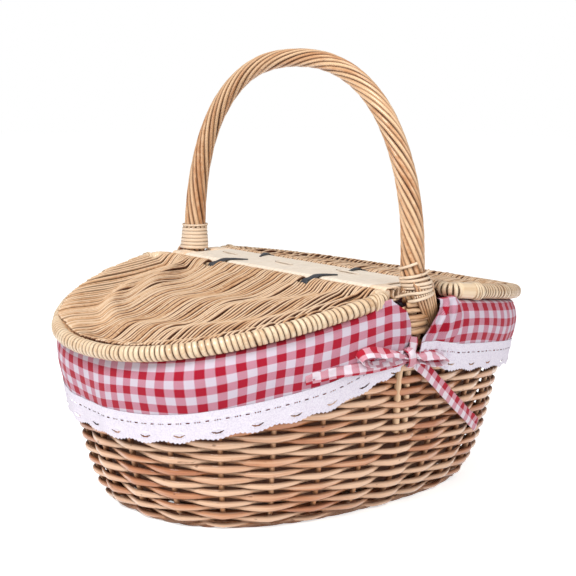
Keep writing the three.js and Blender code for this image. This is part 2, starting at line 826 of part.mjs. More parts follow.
function flapPoint(turn, drop, spread) {
  const rim = rimAt(turn);
  return wallPoint(turn, rim.z - drop, linerOut + spread);
}

{
  const turns = equalTurns(linerColumns, 0.5);
  const rows = [];
  const layer = (make) => rows.push(turns.map(make));
  const t = clothThickness;
  const floorRow = (inset) => layer((turn) => [
    wallPoint(turn, linerFloor, linerIn - inset),
    wallPoint(turn, linerFloor + t, linerIn - inset - t),
  ]);
  floorRow(linerFloorInset);
  floorRow(linerCornerInset);
  for (const part of [0.09, 0.3, 0.62]) {
    layer((turn) => {
      const z = linerFloor + (rimAt(turn).z - linerTop - linerFloor) * part;
      return [wallPoint(turn, z, linerIn), wallPoint(turn, z, linerIn - t)];
    });
  }
  layer((turn) => {
    const z = rimAt(turn).z - linerTop;
    return [wallPoint(turn, z, linerIn), wallPoint(turn, z, linerIn - t)];
  });
  const wrapRow = rows.length;
  const inner = borderRadius + clothGap;
  layer((turn) => {
    const z = rimAt(turn).z;
    return [wallPoint(turn, z, linerIn), wallPoint(turn, z, linerIn - t)];
  });
  layer((turn) => {
    const z = rimAt(turn).z + inner;
    return [wallPoint(turn, z, -1.8), wallPoint(turn, z + t, -2.4)];
  });
  layer((turn) => {
    const z = rimAt(turn).z + inner;
    return [wallPoint(turn, z, 1.8), wallPoint(turn, z + t, 2.4)];
  });
  layer((turn) => [flapPoint(turn, 0, 0), flapPoint(turn, 0, t)]);
  for (const part of [0.5, 1]) {
    layer((turn, k) => {
      const out = fold(k, linerColumns) * part;
      const drop = lids[Math.cos(turn) < 0 ? 0 : 1].hem * part;
      return [flapPoint(turn, drop, out), flapPoint(turn, drop, out + t)];
    });
  }
  const slit = (k) => k === linerColumns - 1 || k === linerColumns / 2 - 1;
  const points = [];
  const id = rows.map((row) => row.map(([under, over]) => {
    points.push(under, over);
    return [points.length - 2, points.length - 1];
  }));
  const index = [];
  const quad = (a, b, c, d) => index.push(a, b, c, a, c, d);
  const filled = (j, k) => j >= 0 && j < rows.length - 1 && !(j >= wrapRow - 1 && slit(k));
  for (let j = 0; j < rows.length - 1; j++) {
    for (let k = 0; k < linerColumns; k++) {
      if (!filled(j, k)) {
        continue;
      }
      const next = (k + 1) % linerColumns;
      const [a, b, c, d] = [id[j][k], id[j][next], id[j + 1][next], id[j + 1][k]];
      quad(a[0], b[0], c[0], d[0]);
      quad(a[1], d[1], c[1], b[1]);
      if (j > 0 && !filled(j - 1, k)) {
        quad(a[0], a[1], b[1], b[0]);
      }
      if (!filled(j + 1, k)) {
        quad(d[0], c[0], c[1], d[1]);
      }
      if (!filled(j, (k + linerColumns - 1) % linerColumns)) {
        quad(a[0], d[0], d[1], a[1]);
      }
      if (!filled(j, next)) {
        quad(b[0], b[1], c[1], c[0]);
      }
    }
  }
  for (const [layerIndex, z, way] of [[0, linerFloor, 1], [1, linerFloor + t, -1]]) {
    const middle = points.length;
    points.push(point(0, 0, z));
    for (let k = 0; k < linerColumns; k++) {
      const a = id[0][k][layerIndex];
      const b = id[0][(k + 1) % linerColumns][layerIndex];
      index.push(...(way > 0 ? [middle, b, a] : [middle, a, b]));
    }
  }
  add('liner', solid(points, index), 0xcf4a5e, 0.9);
}

// Lace: the trim sewn to the hem of each half of the liner
for (const lid of lids) {
  const turns = equalTurns(linerColumns, 0.5);
  const from = lid.sign < 0 ? 0 : linerColumns / 2;
  const count = linerColumns / 2 - 1;
  const hem = (part, drop, spread) => {
    const place = part * count;
    const k = from + Math.min(Math.floor(place), count - 1);
    const ends = [k, k + 1].map((c) => flapPoint(turns[c], drop, fold(c, linerColumns) + spread));
    return ends[0].lerp(ends[1], place - (k - from));
  };
  const steps = scallopCount * 2;
  const top = lid.hem + clothGap;
  const sections = range(steps + 1).map((i) => {
    const deep = top + laceWidth - (i % 2 ? 0 : scallopDepth);
    const part = i / steps;
    return [
      hem(part, top, 0), hem(part, top, laceThickness),
      hem(part, deep, laceThickness), hem(part, deep, 0),
    ];
  });
  add(`lace_${lid.name}`, loft(sections), 0xf2f0f6, 0.9);
}

// Bows: the liner's ribbons, tied at each foot of the handle
for (const [name, sign] of [['near', -1], ['far', 1]]) {
  const foot = (sign * Math.PI) / 2;
  const stand = linerOut + 2 * foldDepth + clothThickness + clothGap;
  const knot = wallPoint(foot, bowHeight, stand + bowKnotRadius);
  const turned = (side) => -sign * side;
  const onWall = (run, z, spread) => {
    const level = wallPoint(foot, z);
    const a = wallPoint(0, z, stand + spread).x;
    const b = wallPoint(foot, z, stand + spread).y;
    const y = b * (1 - Math.abs(run / a) ** outlineExponent) ** (1 / outlineExponent);
    return point(turned(run), y, level.z);
  };
  const pieces = [rod([
    knot.clone().add(point(-bowKnotRadius, 0, 0)),
    knot.clone().add(point(-bowKnotRadius / 2, 0, 0)),
    knot.clone().add(point(bowKnotRadius / 2, 0, 0)),
    knot.clone().add(point(bowKnotRadius, 0, 0)),
  ], (i) => bowKnotRadius * (i % 3 ? 1 : 0.6), 6)];
  const across = Z.clone().multiplyScalar(ribbonWidth / 2);
  for (const side of [-1, 1]) {
    const centres = range(9).map((i) => {
      const angle = (Math.PI * (30 + 37.5 * i)) / 180;
      const run = (bowLoopLength * (1 - Math.cos(angle))) / 2;
      const swell = 0.35 + (0.65 * run) / bowLoopLength;
      return onWall(side * run, bowHeight, bowKnotRadius + (bowLoopDepth / 2) * Math.sin(angle) * swell);
    });
    pieces.push(strand(centres.map((centre, i) => {
      const before = centres[Math.max(i - 1, 0)];
      const after = centres[Math.min(i + 1, centres.length - 1)];
      const along = after.clone().sub(before);
      const through = new THREE.Vector3().crossVectors(Z, along).setLength(ribbonThickness / 2);
      return { centre, across, through };
    })));
  }
  const tail = (side, run, drop) => {
    const stops = range(6).map((i) => {
      const part = i / 5;
      const z = bowHeight - drop * part ** 1.2;
      const centre = onWall(side * run * part, z, ribbonThickness / 2 + bowKnotRadius * (1 - part) ** 2);
      const down = Math.atan2(drop, run);
      const dir = point(turned(side) * Math.sin(down), 0, Math.cos(down));
      return {
        centre,
        across: dir.multiplyScalar(ribbonWidth / 2),
        through: Y.clone().multiplyScalar(ribbonThickness / 2),
      };
    });
    pieces.push(strand(stops));
  };
  tail(1, longTailRun, longTailDrop);
  tail(-1, shortTailLength, 6);
  add(`bow_${name}`, join(pieces), 0xd06070, 0.9);
}

export default parts;
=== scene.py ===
import math
import random

import bpy
import numpy as np
from mathutils import Matrix, Vector


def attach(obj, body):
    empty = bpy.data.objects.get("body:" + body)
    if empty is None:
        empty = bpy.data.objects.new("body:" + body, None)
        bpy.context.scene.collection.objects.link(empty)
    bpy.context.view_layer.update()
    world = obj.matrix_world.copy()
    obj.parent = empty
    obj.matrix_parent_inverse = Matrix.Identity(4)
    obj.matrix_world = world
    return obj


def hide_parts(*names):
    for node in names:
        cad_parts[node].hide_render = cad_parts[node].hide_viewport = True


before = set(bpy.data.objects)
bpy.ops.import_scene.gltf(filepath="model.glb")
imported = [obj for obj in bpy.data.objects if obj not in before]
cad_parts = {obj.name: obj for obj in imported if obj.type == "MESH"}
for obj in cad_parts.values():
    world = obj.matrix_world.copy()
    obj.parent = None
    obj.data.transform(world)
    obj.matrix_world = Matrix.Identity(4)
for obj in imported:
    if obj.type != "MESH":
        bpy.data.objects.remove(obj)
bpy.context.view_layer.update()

# Foot border. The stakes' ends are bent down and plaited into a thin rope that stands on the
# ground: four fine rods twist round each other, three plain rings lie inside them, and cut ends
# slant outward. Like the whole basket, it follows an oval mould that flares towards the rim.
MM = 0.001
upward = (0, 0, 1)
stake_count = 26
base_half_length = 149 * MM
base_half_width = 95 * MM
length_flare = 43 * MM
width_flare = 46.6 * MM
flare_height = 165 * MM
flare_exponent = 0.45
oval_exponent = 2.5


def rounded(value, exponent):
    """A cosine or sine, bent so that the circle it draws becomes a fuller oval."""
    return np.sign(value) * np.abs(value) ** (2 / exponent)


def mould_size(z):
    """The mould's half length and half width at a height."""
    rise = (z / flare_height) ** flare_exponent
    return base_half_length + length_flare * rise, base_half_width + width_flare * rise


def wall_point(turn, z, offset=0.0):
    """The middle of the wall at a turn round it and a height, moved outward by offset."""
    turn, z, offset = np.broadcast_arrays(np.asarray(turn, float), z, offset)
    half_length, half_width = mould_size(np.maximum(z, 0))
    return np.stack([(half_length + offset) * rounded(np.cos(turn), oval_exponent),
                     (half_width + offset) * rounded(np.sin(turn), oval_exponent),
                     z * np.ones_like(turn)], -1)


def unit(vectors):
    return vectors / np.maximum(np.linalg.norm(vectors, axis=-1, keepdims=True), 1e-12)


def walked(line):
    """How far along a line each of its points is."""
    return np.concatenate([[0], np.cumsum(np.linalg.norm(np.diff(line, axis=0), axis=1))])


girth_turns = np.linspace(0, 2 * np.pi, 2881) + np.pi / 2
girth_lengths = walked(wall_point(girth_turns, flare_height / 3))
girth = girth_lengths[-1]


def turn_at(share):
    """The turn at a share of the way round, in equal lengths from the handle's foot at +Y."""
    share = np.asarray(share, float)
    whole = np.floor(share)
    return np.interp((share - whole) * girth, girth_lengths, girth_turns) + whole * 2 * np.pi


def ease(value):
    value = np.clip(value, 0, 1)
    return value * value * (3 - 2 * value)


def smooth_noise(rng, count, knots, ring=True):
    """Values from -1 to 1 that wander along a strand."""
    values = [rng.uniform(-1, 1) for _ in range(knots)]
    values.append(values[0] if ring else rng.uniform(-1, 1))
    place = np.linspace(0, knots, count, endpoint=not ring)
    low = np.minimum(place.astype(int), knots - 1)
    part = ease(place - low)
    values = np.array(values)
    return values[low] * (1 - part) + values[low + 1] * part


def give(tree, socket, value):
    """Sets a socket to a number or a colour, or links it to what another node puts out."""
    if hasattr(value, "links"):
        tree.links.new(value, socket)
    else:
        socket.default_value = (*value, 1) if isinstance(value, tuple) else value


def sum_of(tree, kind, *values):
    node = tree.nodes.new("ShaderNodeMath")
    node.operation = kind
    for socket, value in zip(node.inputs, values):
        give(tree, socket, value)
    return node.outputs[0]


def between(tree, value, low, high):
    """0 up to low, 1 from high, and even between them."""
    node = tree.nodes.new("ShaderNodeMapRange")
    node.inputs["From Min"].default_value = low
    node.inputs["From Max"].default_value = high
    tree.links.new(value, node.inputs[0])
    return node.outputs[0]


def dyed(tree, share, first, second, how="MIX"):
    """The first colour where share is 0, and the second where it is 1."""
    node = tree.nodes.new("ShaderNodeMix")
    node.data_type = "RGBA"
    node.blend_type = how
    for number, value in ((0, share), (6, first), (7, second)):
        give(tree, node.inputs[number], value)
    return node.outputs[2]


def raised(tree, shader, height, strength, depth):
    """Fine relief on a surface."""
    bump = tree.nodes.new("ShaderNodeBump")
    bump.inputs["Strength"].default_value = strength
    bump.inputs["Distance"].default_value = depth
    tree.links.new(height, bump.inputs["Height"])
    tree.links.new(bump.outputs[0], shader.inputs["Normal"])


def effect(name, takes, gives):
    """A shader node group, with what it is given and what it puts out."""
    tree = bpy.data.node_groups.new(name, "ShaderNodeTree")
    for way, sockets in (("INPUT", takes), ("OUTPUT", gives)):
        for label, kind in sockets:
            tree.interface.new_socket(label, in_out=way, socket_type=f"NodeSocket{kind}")
    return tree, tree.nodes.new("NodeGroupInput").outputs, tree.nodes.new("NodeGroupOutput").inputs


def ways(tree):
    """The length along a piece and the length across it, from its UVs, in metres."""
    split = tree.nodes.new("ShaderNodeSeparateXYZ")
    tree.links.new(tree.nodes.new("ShaderNodeUVMap").outputs[0], split.inputs[0])
    return split.outputs[0], split.outputs[1]


def material_of(name):
    material = bpy.data.materials.new(name)
    material.use_nodes = True
    return material, material.node_tree, material.node_tree.nodes["Principled BSDF"]


def grain_group():
    """Willow's look. It is streaked along its length, with small dark scars where side shoots
    were cut off. Where one strand meets the next it has painted shade: darker, duller and rougher."""
    tree, given, result = effect(
        "willow_grain",
        (("Tone", "Float"), ("Pale", "Color"), ("Mid", "Color"), ("Deep", "Color"), ("Streaks", "Float"),
         ("Scars", "Float"), ("Crease", "Float"), ("Varnish", "Float")),
        (("Color", "Color"), ("Roughness", "Float"), ("Height", "Float"), ("Varnish", "Float")))
    along, across = ways(tree)

    def streaked(along_scale, across_scale, seed, detail):
        spread = tree.nodes.new("ShaderNodeCombineXYZ")
        for socket, value, scale in zip(spread.inputs, (along, across, given["Tone"]),
                                        (along_scale, across_scale, seed)):
            tree.links.new(sum_of(tree, "MULTIPLY", value, scale), socket)
        noise = tree.nodes.new("ShaderNodeTexNoise")
        noise.inputs["Scale"].default_value = 1.0
        noise.inputs["Detail"].default_value = detail
        tree.links.new(spread.outputs[0], noise.inputs["Vector"])
        return noise.outputs[0]

    fine = streaked(along_scale=26, across_scale=1500, seed=57, detail=3)
    broad = streaked(along_scale=22, across_scale=260, seed=91, detail=2)
    spots = streaked(along_scale=120, across_scale=420, seed=33, detail=1)
    tone = sum_of(tree, "MULTIPLY_ADD", given["Tone"], 0.75, -0.12)
    tone = sum_of(tree, "MULTIPLY_ADD", sum_of(tree, "SUBTRACT", broad, 0.5), 1.1, tone)
    tone = sum_of(tree, "MULTIPLY_ADD", sum_of(tree, "SUBTRACT", fine, 0.5), given["Streaks"], tone)
    colour = dyed(tree, between(tree, tone, 0, 0.45), given["Pale"], given["Mid"])
    colour = dyed(tree, between(tree, tone, 0.4, 0.95), colour, given["Deep"])
    scar = sum_of(tree, "MULTIPLY", between(tree, spots, 0.70, 0.76), given["Scars"])
    colour = dyed(tree, scar, colour, (0.28, 0.17, 0.10), "MULTIPLY")
    # Painted shade: the Crease mask darkens the colour where one strand meets the next.
    colour = dyed(tree, given["Crease"], colour, (0.10, 0.03, 0.01), "MULTIPLY")
    tree.links.new(colour, result["Color"])
    # The coat is taken away under the painted shade too, and the roughness rises there.
    coat_outside_shade = sum_of(tree, "MULTIPLY_ADD", given["Crease"], -0.9, 1.0)
    tree.links.new(sum_of(tree, "MULTIPLY", coat_outside_shade, given["Varnish"]), result["Varnish"])
    rough = sum_of(tree, "MULTIPLY_ADD", fine, 0.28, 0.24)
    tree.links.new(sum_of(tree, "MULTIPLY_ADD", given["Crease"], 0.45, rough), result["Roughness"])
    height = sum_of(tree, "MULTIPLY_ADD", fine, 0.7, sum_of(tree, "MULTIPLY", broad, 0.3))
    tree.links.new(height, result["Height"])
    return tree


willow_grain = grain_group()


def willow(name, pale, mid, deep, streaks=0.5, scars=0.8, varnish=0.35, blur=0.16):
    """Boiled and varnished willow, or its split skin. Each strand has a tone between its colours."""
    material, tree, shader = material_of(name)
    grain = tree.nodes.new("ShaderNodeGroup")
    grain.node_tree = willow_grain
    # The crease attribute is the mask of the shade painted where strands meet.
    for label in ("tone", "crease"):
        reading = tree.nodes.new("ShaderNodeAttribute")
        reading.attribute_name = label
        tree.links.new(reading.outputs["Fac"], grain.inputs[label.title()])
    for label, value in (("Pale", pale), ("Mid", mid), ("Deep", deep), ("Streaks", streaks), ("Scars", scars),
                         ("Varnish", varnish)):
        give(tree, grain.inputs[label], value)
    for label, socket in (("Color", "Base Color"), ("Roughness", "Roughness"), ("Varnish", "Coat Weight")):
        tree.links.new(grain.outputs[label], shader.inputs[socket])
    raised(tree, shader, grain.outputs["Height"], 0.25, 0.25 * MM)
    shader.inputs["Specular IOR Level"].default_value = 0.35
    shader.inputs["Coat Roughness"].default_value = blur
    return material


wall_willow = willow("wall_willow", (0.95, 0.61, 0.39), (0.70, 0.30, 0.13), (0.44, 0.12, 0.03),
                     streaks=0.6, scars=0.8, varnish=0.9)


def add_object(name, data):
    item = bpy.data.objects.new(name, data)
    bpy.context.scene.collection.objects.link(item)
    return item


def add_piece(name, points, faces, uv, material):
    """A piece from its points, its faces, and the UVs of its faces' corners."""
    mesh = bpy.data.meshes.new(name)
    mesh.from_pydata(points, [], faces)
    layer = mesh.uv_layers.new(name="UVMap")
    layer.data.foreach_set("uv", uv.astype(np.float32).ravel())
    mesh.shade_smooth()
    mesh.materials.append(material)
    return add_object(name, mesh)


def strand(path, out, wide, thick, tone=0.5, sides=8, ring=False, corner=2.0, crease_shade=0.75):
    """A rod or a flat length of peel along a path. out is the way that its thickness faces,
    wide and thick are half its section, and the last argument is how much shade is painted
    where it meets the next."""
    path = np.asarray(path, float)
    count = len(path)
    along = unit(np.roll(path, -1, 0) - np.roll(path, 1, 0) if ring else np.gradient(path, axis=0))
    out = np.broadcast_to(np.asarray(out, float), path.shape)
    out = unit(out - along * np.sum(out * along, -1, keepdims=True))
    across = np.cross(along, out)
    wide, thick, tone, crease_shade = (np.broadcast_to(np.asarray(value, float), (count,))
                                for value in (wide, thick, tone, crease_shade))
    angle = 2 * np.pi * (np.arange(sides) + 0.5) / sides
    points = (path[:, None] + across[:, None] * (wide[:, None] * rounded(np.cos(angle), corner))[..., None]
              + out[:, None] * (thick[:, None] * rounded(np.sin(angle), corner))[..., None])
    spans = count if ring else count - 1
    i, j = np.meshgrid(np.arange(spans), np.arange(sides), indexing="ij")
    after, beside = (i + 1) % count, (j + 1) % sides
    quads = np.stack([i * sides + j, i * sides + beside, after * sides + beside, after * sides + j], -1)
    length = np.concatenate([[0], np.cumsum(np.linalg.norm(np.roll(path, -1, 0) - path, axis=1))])
    around = 2 * np.pi * float(np.mean(wide + thick)) / 2
    u0, u1 = length[i], length[i + 1]
    v0, v1 = around * j / sides, around * (j + 1) / sides
    uv = np.stack([np.stack(corner_uv, -1) for corner_uv in ((u0, v0), (u0, v1), (u1, v1), (u1, v0))], -2)
    # The painted shade is full on the back of the section and on its sides, and there is none on its front.
    flank = np.where(np.sin(angle) < 0, 1.0, np.cos(angle) ** 2)
    ends = [] if ring else [list(range(sides))[::-1], list(range((count - 1) * sides, count * sides))]
    return {"points": points.reshape(-1, 3), "quads": quads.reshape(-1, 4), "uv": uv.reshape(-1, 2),
            "tone": np.repeat(tone, sides), "crease": (crease_shade[:, None] * flank).ravel(),
            "ends": ends, "end_u": (0.0, float(length[-2]))}


def bundle(name, strands, material):
    """One piece made of many strands."""
    starts = np.cumsum([0] + [len(s["points"]) for s in strands]).tolist()
    faces, uvs = [], [s["uv"] for s in strands]
    for s, start in zip(strands, starts):
        faces.extend((s["quads"] + start).tolist())
    for s, start in zip(strands, starts):
        for u, end in zip(s["end_u"], s["ends"]):
            faces.append([start + k for k in end])
            uvs.append(np.array([[u, 0.5 * MM * k] for k in range(len(end))]))
    piece = add_piece(name, np.concatenate([s["points"] for s in strands]), faces, np.concatenate(uvs), material)
    # Each point keeps its tone and how much shade is painted on it where strands meet.
    for label in ("tone", "crease"):
        values = piece.data.attributes.new(label, "FLOAT", "POINT")
        values.data.foreach_set("value", np.concatenate([s[label] for s in strands]).astype(np.float32))
    return piece


plait_height = 2.8 * MM
plait_rod = 1.35 * MM
plait_rise = 1.4 * MM
plait_reach = 1.9 * MM
plait_stand = 0.6 * MM
inner_ring_rod = 1.9 * MM
inner_rings = ((3.8 * MM, 5.4 * MM), (5.2 * MM, 8.6 * MM), (6.6 * MM, 11.6 * MM))
cut_end_rod = 1.3 * MM
cut_end_height = 6.5 * MM
cut_end_inset = 1 * MM
cut_end_stand = 3.4 * MM
rng = random.Random(11)
foot_strands = []
samples = stake_count * 16
share = np.arange(samples) / samples
for k in range(4):
    angle = 2 * np.pi * (share * stake_count / 2 + k / 4) + 0.6 * smooth_noise(rng, samples, 26)
    path = wall_point(turn_at(share), plait_height, plait_reach * np.cos(angle) + plait_stand)
    path[:, 2] = plait_height + plait_rise * np.sin(angle)
    tone = 0.4 + 0.25 * smooth_noise(rng, samples, 30)
    foot_strands.append(strand(path, upward, plait_rod, plait_rod, tone, sides=7, ring=True))
for inward, height in inner_rings:
    foot_strands.append(strand(wall_point(turn_at(share), height, -inward), upward, inner_ring_rod, inner_ring_rod,
                               0.9, sides=7, ring=True))
for k in range(stake_count):
    inner = wall_point(turn_at((k + 0.5 + rng.uniform(-0.2, 0.2)) / stake_count), cut_end_height, -cut_end_inset)
    outer = wall_point(turn_at((k + 1.05) / stake_count), rng.uniform(1.9, 3.5) * MM, cut_end_stand)
    path = inner + (outer - inner) * np.linspace(0, 1, 5)[:, None]
    foot_strands.append(strand(path, upward, cut_end_rod, cut_end_rod, rng.uniform(0.1, 0.8), sides=6))
foot_border = bundle("foot_border_plait", foot_strands, wall_willow)
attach(foot_border, "basket")
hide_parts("foot_border")

# Base. Seven short sticks cross three long ones, a bent hoop ties their ends, and fine rods
# are woven over and under them. It is seen only from below, because the liner covers it.
stake_willow = willow("stake_willow", (0.86, 0.50, 0.28), (0.74, 0.37, 0.18), (0.50, 0.20, 0.07))
base_height = 8 * MM
hoop_inset = 13 * MM
stick_radius = 2.2 * MM
short_x = [(i - 3) * 20 * MM for i in range(7)]
long_y = [(i - 1) * 7.5 * MM for i in range(3)]
round_pitch = 4.4 * MM
round_lift = 3.6 * MM
round_half_width = 1.9 * MM
round_half_height = 1.3 * MM
round_points = 260
first_inset = hoop_inset + 4 * MM
last_inset = 78 * MM
rng = random.Random(12)
hoop = wall_point(turn_at(np.arange(120) / 120), base_height, -hoop_inset)
base_strands = [strand(hoop, upward, stick_radius, stick_radius, 0.6, ring=True)]
full_length, full_width = mould_size(base_height)
half_length, half_width = full_length - hoop_inset, full_width - hoop_inset
for x in short_x:
    y = half_width * (1 - abs(x / half_length) ** oval_exponent) ** (1 / oval_exponent)
    path = np.array([[x, t * y, base_height] for t in np.linspace(-1, 1, 12)])
    base_strands.append(strand(path, upward, stick_radius, stick_radius, rng.random()))
for y in long_y:
    x = half_length * (1 - abs(y / half_width) ** oval_exponent) ** (1 / oval_exponent)
    path = np.array([[t * x, y, base_height] for t in np.linspace(-1, 1, 20)])
    base_strands.append(strand(path, upward, stick_radius, stick_radius, rng.random()))
base_sticks = bundle("base_sticks", base_strands, stake_willow)
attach(base_sticks, "basket")

base_rounds = []
inset = first_inset
while inset < last_inset:
    a, b = full_length - inset, full_width - inset
    crossings = []
    for side in (0, 1):
        for x in short_x:
            if abs(x) < a:
                lean = math.asin(math.copysign(abs(x / a) ** (oval_exponent / 2), x))
                crossings.append(math.pi * (side + 0.5) + lean)
        crossings.append(math.pi * (side + 1))
    crossings = sorted(c % (2 * math.pi) for c in crossings)
    stops = np.array([crossings[-1] - 2 * math.pi, *crossings, crossings[0] + 2 * math.pi])
    turns = np.linspace(0, 2 * math.pi, round_points, endpoint=False)
    phase = np.interp(turns, stops, np.arange(len(stops))) + len(base_rounds)
    path = np.stack([a * rounded(np.cos(turns), oval_exponent), b * rounded(np.sin(turns), oval_exponent),
                     base_height + round_lift * np.cos(np.pi * phase)], -1)
    tone = 0.5 + 0.35 * smooth_noise(rng, round_points, 17)
    base_rounds.append(strand(path, upward, round_half_width, round_half_height, tone, ring=True))
    inset += round_pitch
base_weave = bundle("base_weave", base_rounds, wall_willow)
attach(base_weave, "basket")
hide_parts(*[f"base_weaver_{i}" for i in range(1, 6)])

# Stakes. The standing ribs of the wall, thick rods set into the base and bent up. At the
# handle's feet the stake ends low, because the handle's own rods run down there. Their tops
# follow the underside of the lids, of which the front one is shorter and hangs lower.
hinge_height = 174.4 * MM
hinge_x = 35.03 * MM
border_radius = 4.2 * MM
border_top = hinge_height - 7.8 * MM
lids = {
    "front": {"sign": -1, "reach": 166 * MM, "droop": 28 * MM, "curve": 12 * MM, "shift": 3 * MM},
    "back": {"sign": 1, "reach": 171 * MM, "droop": 18.5 * MM, "curve": 6.5 * MM, "shift": 12 * MM},
}
stake_radius = 2.25 * MM
stake_points = 26
stake_foot = 14 * MM
stake_bend_offsets = np.array([-hoop_inset, -8 * MM, -3.4 * MM, -0.9 * MM])
stake_bend_rise = np.array([0, 0, 0.6, 2.4]) * MM
leg_end = 66 * MM


def lid_drop(lid, distance):
    """How far a lid has come down at a distance from its hinge."""
    part = np.maximum(distance, 0) / lid["reach"]
    return lid["droop"] * part + lid["curve"] * part * part


def rim_z(turn):
    """The height of the rim border's middle at a turn. The height and the place depend on each other."""
    x = np.zeros_like(np.asarray(turn, float))
    for _ in range(9):
        drop = np.where(x < 0, lid_drop(lids["front"], -x - hinge_x), lid_drop(lids["back"], x - hinge_x))
        z = border_top - border_radius - drop
        x = wall_point(turn, z)[..., 0]
    return z


def wall_up(turn, z):
    step = 0.5 * MM
    return unit(wall_point(turn, np.asarray(z) + step) - wall_point(turn, np.asarray(z) - step))


def wall_out(turn, z):
    step = 0.01
    return unit(np.cross(wall_point(turn + step, z) - wall_point(turn - step, z), wall_up(turn, z)))


rng = random.Random(13)
stakes = []
for k in range(stake_count):
    at_handle = k in (0, stake_count // 2)
    turn = float(turn_at(k / stake_count))
    top = leg_end - 0.5 * MM if at_handle else float(rim_z(turn)) - border_radius
    heights = np.linspace(stake_foot, top, stake_points)
    wander = 0.0035 * smooth_noise(rng, stake_points, 4, False)
    bent_in = wall_point(turn, base_height, stake_bend_offsets)
    bent_in[:, 2] += stake_bend_rise
    path = np.concatenate([bent_in, wall_point(turn + wander, heights)])
    size = stake_radius * (1.04 - 0.1 * np.linspace(0, 1, len(path)))
    stakes.append(strand(path, wall_out(turn, 60 * MM), size, size, rng.uniform(0.15, 0.9), sides=10))
stake_piece = bundle("stakes", stakes, stake_willow)
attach(stake_piece, "basket")
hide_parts("stake_frame")

# Wall weave. Level rows of rods, each in front of one stake and behind the next. A rod is
# pressed thick where it bends round a stake and thin where it crosses the next row.
# Near the handle's feet the rim is higher, so short rows build it up there.
row_pitch = 4.8 * MM
first_row = 8.3 * MM
row_samples = stake_count * 12
weaver_stand = 1.9 * MM
foot_bulge = 1.5 * MM
least_run = 6
rng = random.Random(14)
rows = []
share = np.arange(row_samples) / row_samples
turns = turn_at(share)
rim = rim_z(turns)
from_foot = share * stake_count % (stake_count / 2)
foot = np.clip(1 - np.minimum(from_foot, stake_count / 2 - from_foot), 0, 1)
reach = stake_radius + weaver_stand + foot_bulge * foot ** 0.5
row = -1
while first_row + row_pitch * row <= rim.max() - border_radius:
    z = first_row + row_pitch * row
    place = share * stake_count + row
    wave = np.cos(np.pi * place)
    peak = 1 - 2 * np.abs(place % 2 - 1)
    swing = np.clip(1.06 * (0.2 * wave - 0.8 * peak), -1, 1)
    swing = np.clip(swing * (1 + 0.9 * foot ** 2), -1, 1)
    front = 0.5 + 0.5 * wave
    stoutness = np.array([rng.uniform(0.86, 1.1) for _ in range(stake_count + 1)])
    lift = np.array([rng.uniform(-0.45, 0.45) * MM for _ in range(stake_count + 1)])
    shade = np.array([min(max(rng.gauss(0.46, 0.38), 0.0), 1.0) for _ in range(stake_count + 1)])
    held = ((place + 1) // 2).astype(int) % (stake_count // 2)
    blend = np.abs((place + 1) % 2 - 1)
    path = wall_point(turns, z + lift[held] * (1 - blend), swing * reach)
    tall = (1.7 + 1.5 * front ** 1.3) * MM * stoutness[held] * (1 + 0.05 * smooth_noise(rng, row_samples, 60))
    thick = (1.15 + 0.35 * front) * MM
    out = wall_out(turns, z)
    keep = z < rim - border_radius - 0.5 * MM
    if keep.all():
        rows.append(strand(path, out, tall, thick, shade[held], ring=True, corner=2.3))
    else:
        for centre in (0, row_samples // 2):
            index = np.arange(centre - row_samples // 4, centre + row_samples // 4) % row_samples
            index = index[keep[index]]
            if len(index) > least_run:
                rows.append(strand(path[index], out[index], tall[index], thick[index], shade[held][index],
                                   corner=2.3))
    row += 1
wall_weave = bundle("wall_weave", rows, wall_willow)
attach(wall_weave, "basket")
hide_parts(*[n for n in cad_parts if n.startswith("weaver_")])

# Rim border. The stakes' tops are laid down and twisted round each other to close the wall,
# in two lengths between the handle's legs. The liner's fold covers nearly all of it.
rim_rod = 2.1 * MM
rim_twist = 2.0 * MM
rim_turns = 34
rim_points = 150
rng = random.Random(15)
for name, lid in lids.items():
    border_strands = []
    shares = np.linspace(0.012, 0.488, rim_points) + (0.0 if lid["sign"] < 0 else 0.5)
    turns = turn_at(shares)
    levels = rim_z(turns)
    for k in range(3):
        angle = 2 * np.pi * (shares * rim_turns + k / 3)
        path = wall_point(turns, levels + rim_twist * np.sin(angle), rim_twist * np.cos(angle))
        tone = 0.5 + 0.4 * smooth_noise(rng, rim_points, 20, False)
        border_strands.append(strand(path, upward, rim_rod, rim_rod, tone))
    rim_border = bundle(f"rim_border_{name}_rods", border_strands, wall_willow)
    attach(rim_border, "basket")
    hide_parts(f"rim_border_{name}")

# Handle. Fine rods are twisted round a core into an arch that tapers to its top. At each foot
# two thick core rods run down inside the wall and end among the weavers, and the fine rods'
# ends fan out over the rim and down its outside.
handle_willow = willow("handle_willow", (0.88, 0.58, 0.34), (0.65, 0.32, 0.14), (0.36, 0.13, 0.04),
                       streaks=0.6, scars=0.5, varnish=0.7, blur=0.24)
arch_half_width = 135.5 * MM
arch_spring = 186 * MM
arch_top = 350 * MM
arch_exponent = 2.33
arch_points = 260
foot_size = 9.7 * MM
top_size = 7.5 * MM
twist_turns = -3.4
fine_rods = 12
leg_spread = 4.6 * MM
leg_radius = 2.8 * MM
leg_stand = 2.4 * MM
leg_sway_heights = np.array([66, 80, 93, 106, 116, 136, 160]) * MM
leg_sway = np.array([2, 4, 6, 8, 8.5, 5, 0]) * MM
bundle_bottom = border_top + 1.8 * MM
bundle_foot_y = arch_half_width + foot_size * 0.35


def points_at(line, length, at):
    """The points of a line at the given lengths along it."""
    return np.stack([np.interp(at, length, line[:, c]) for c in range(line.shape[1])], -1)


def evenly(line, count):
    """The same line as count points at equal steps."""
    length = walked(line)
    return points_at(line, length, np.linspace(0, length[-1], count))


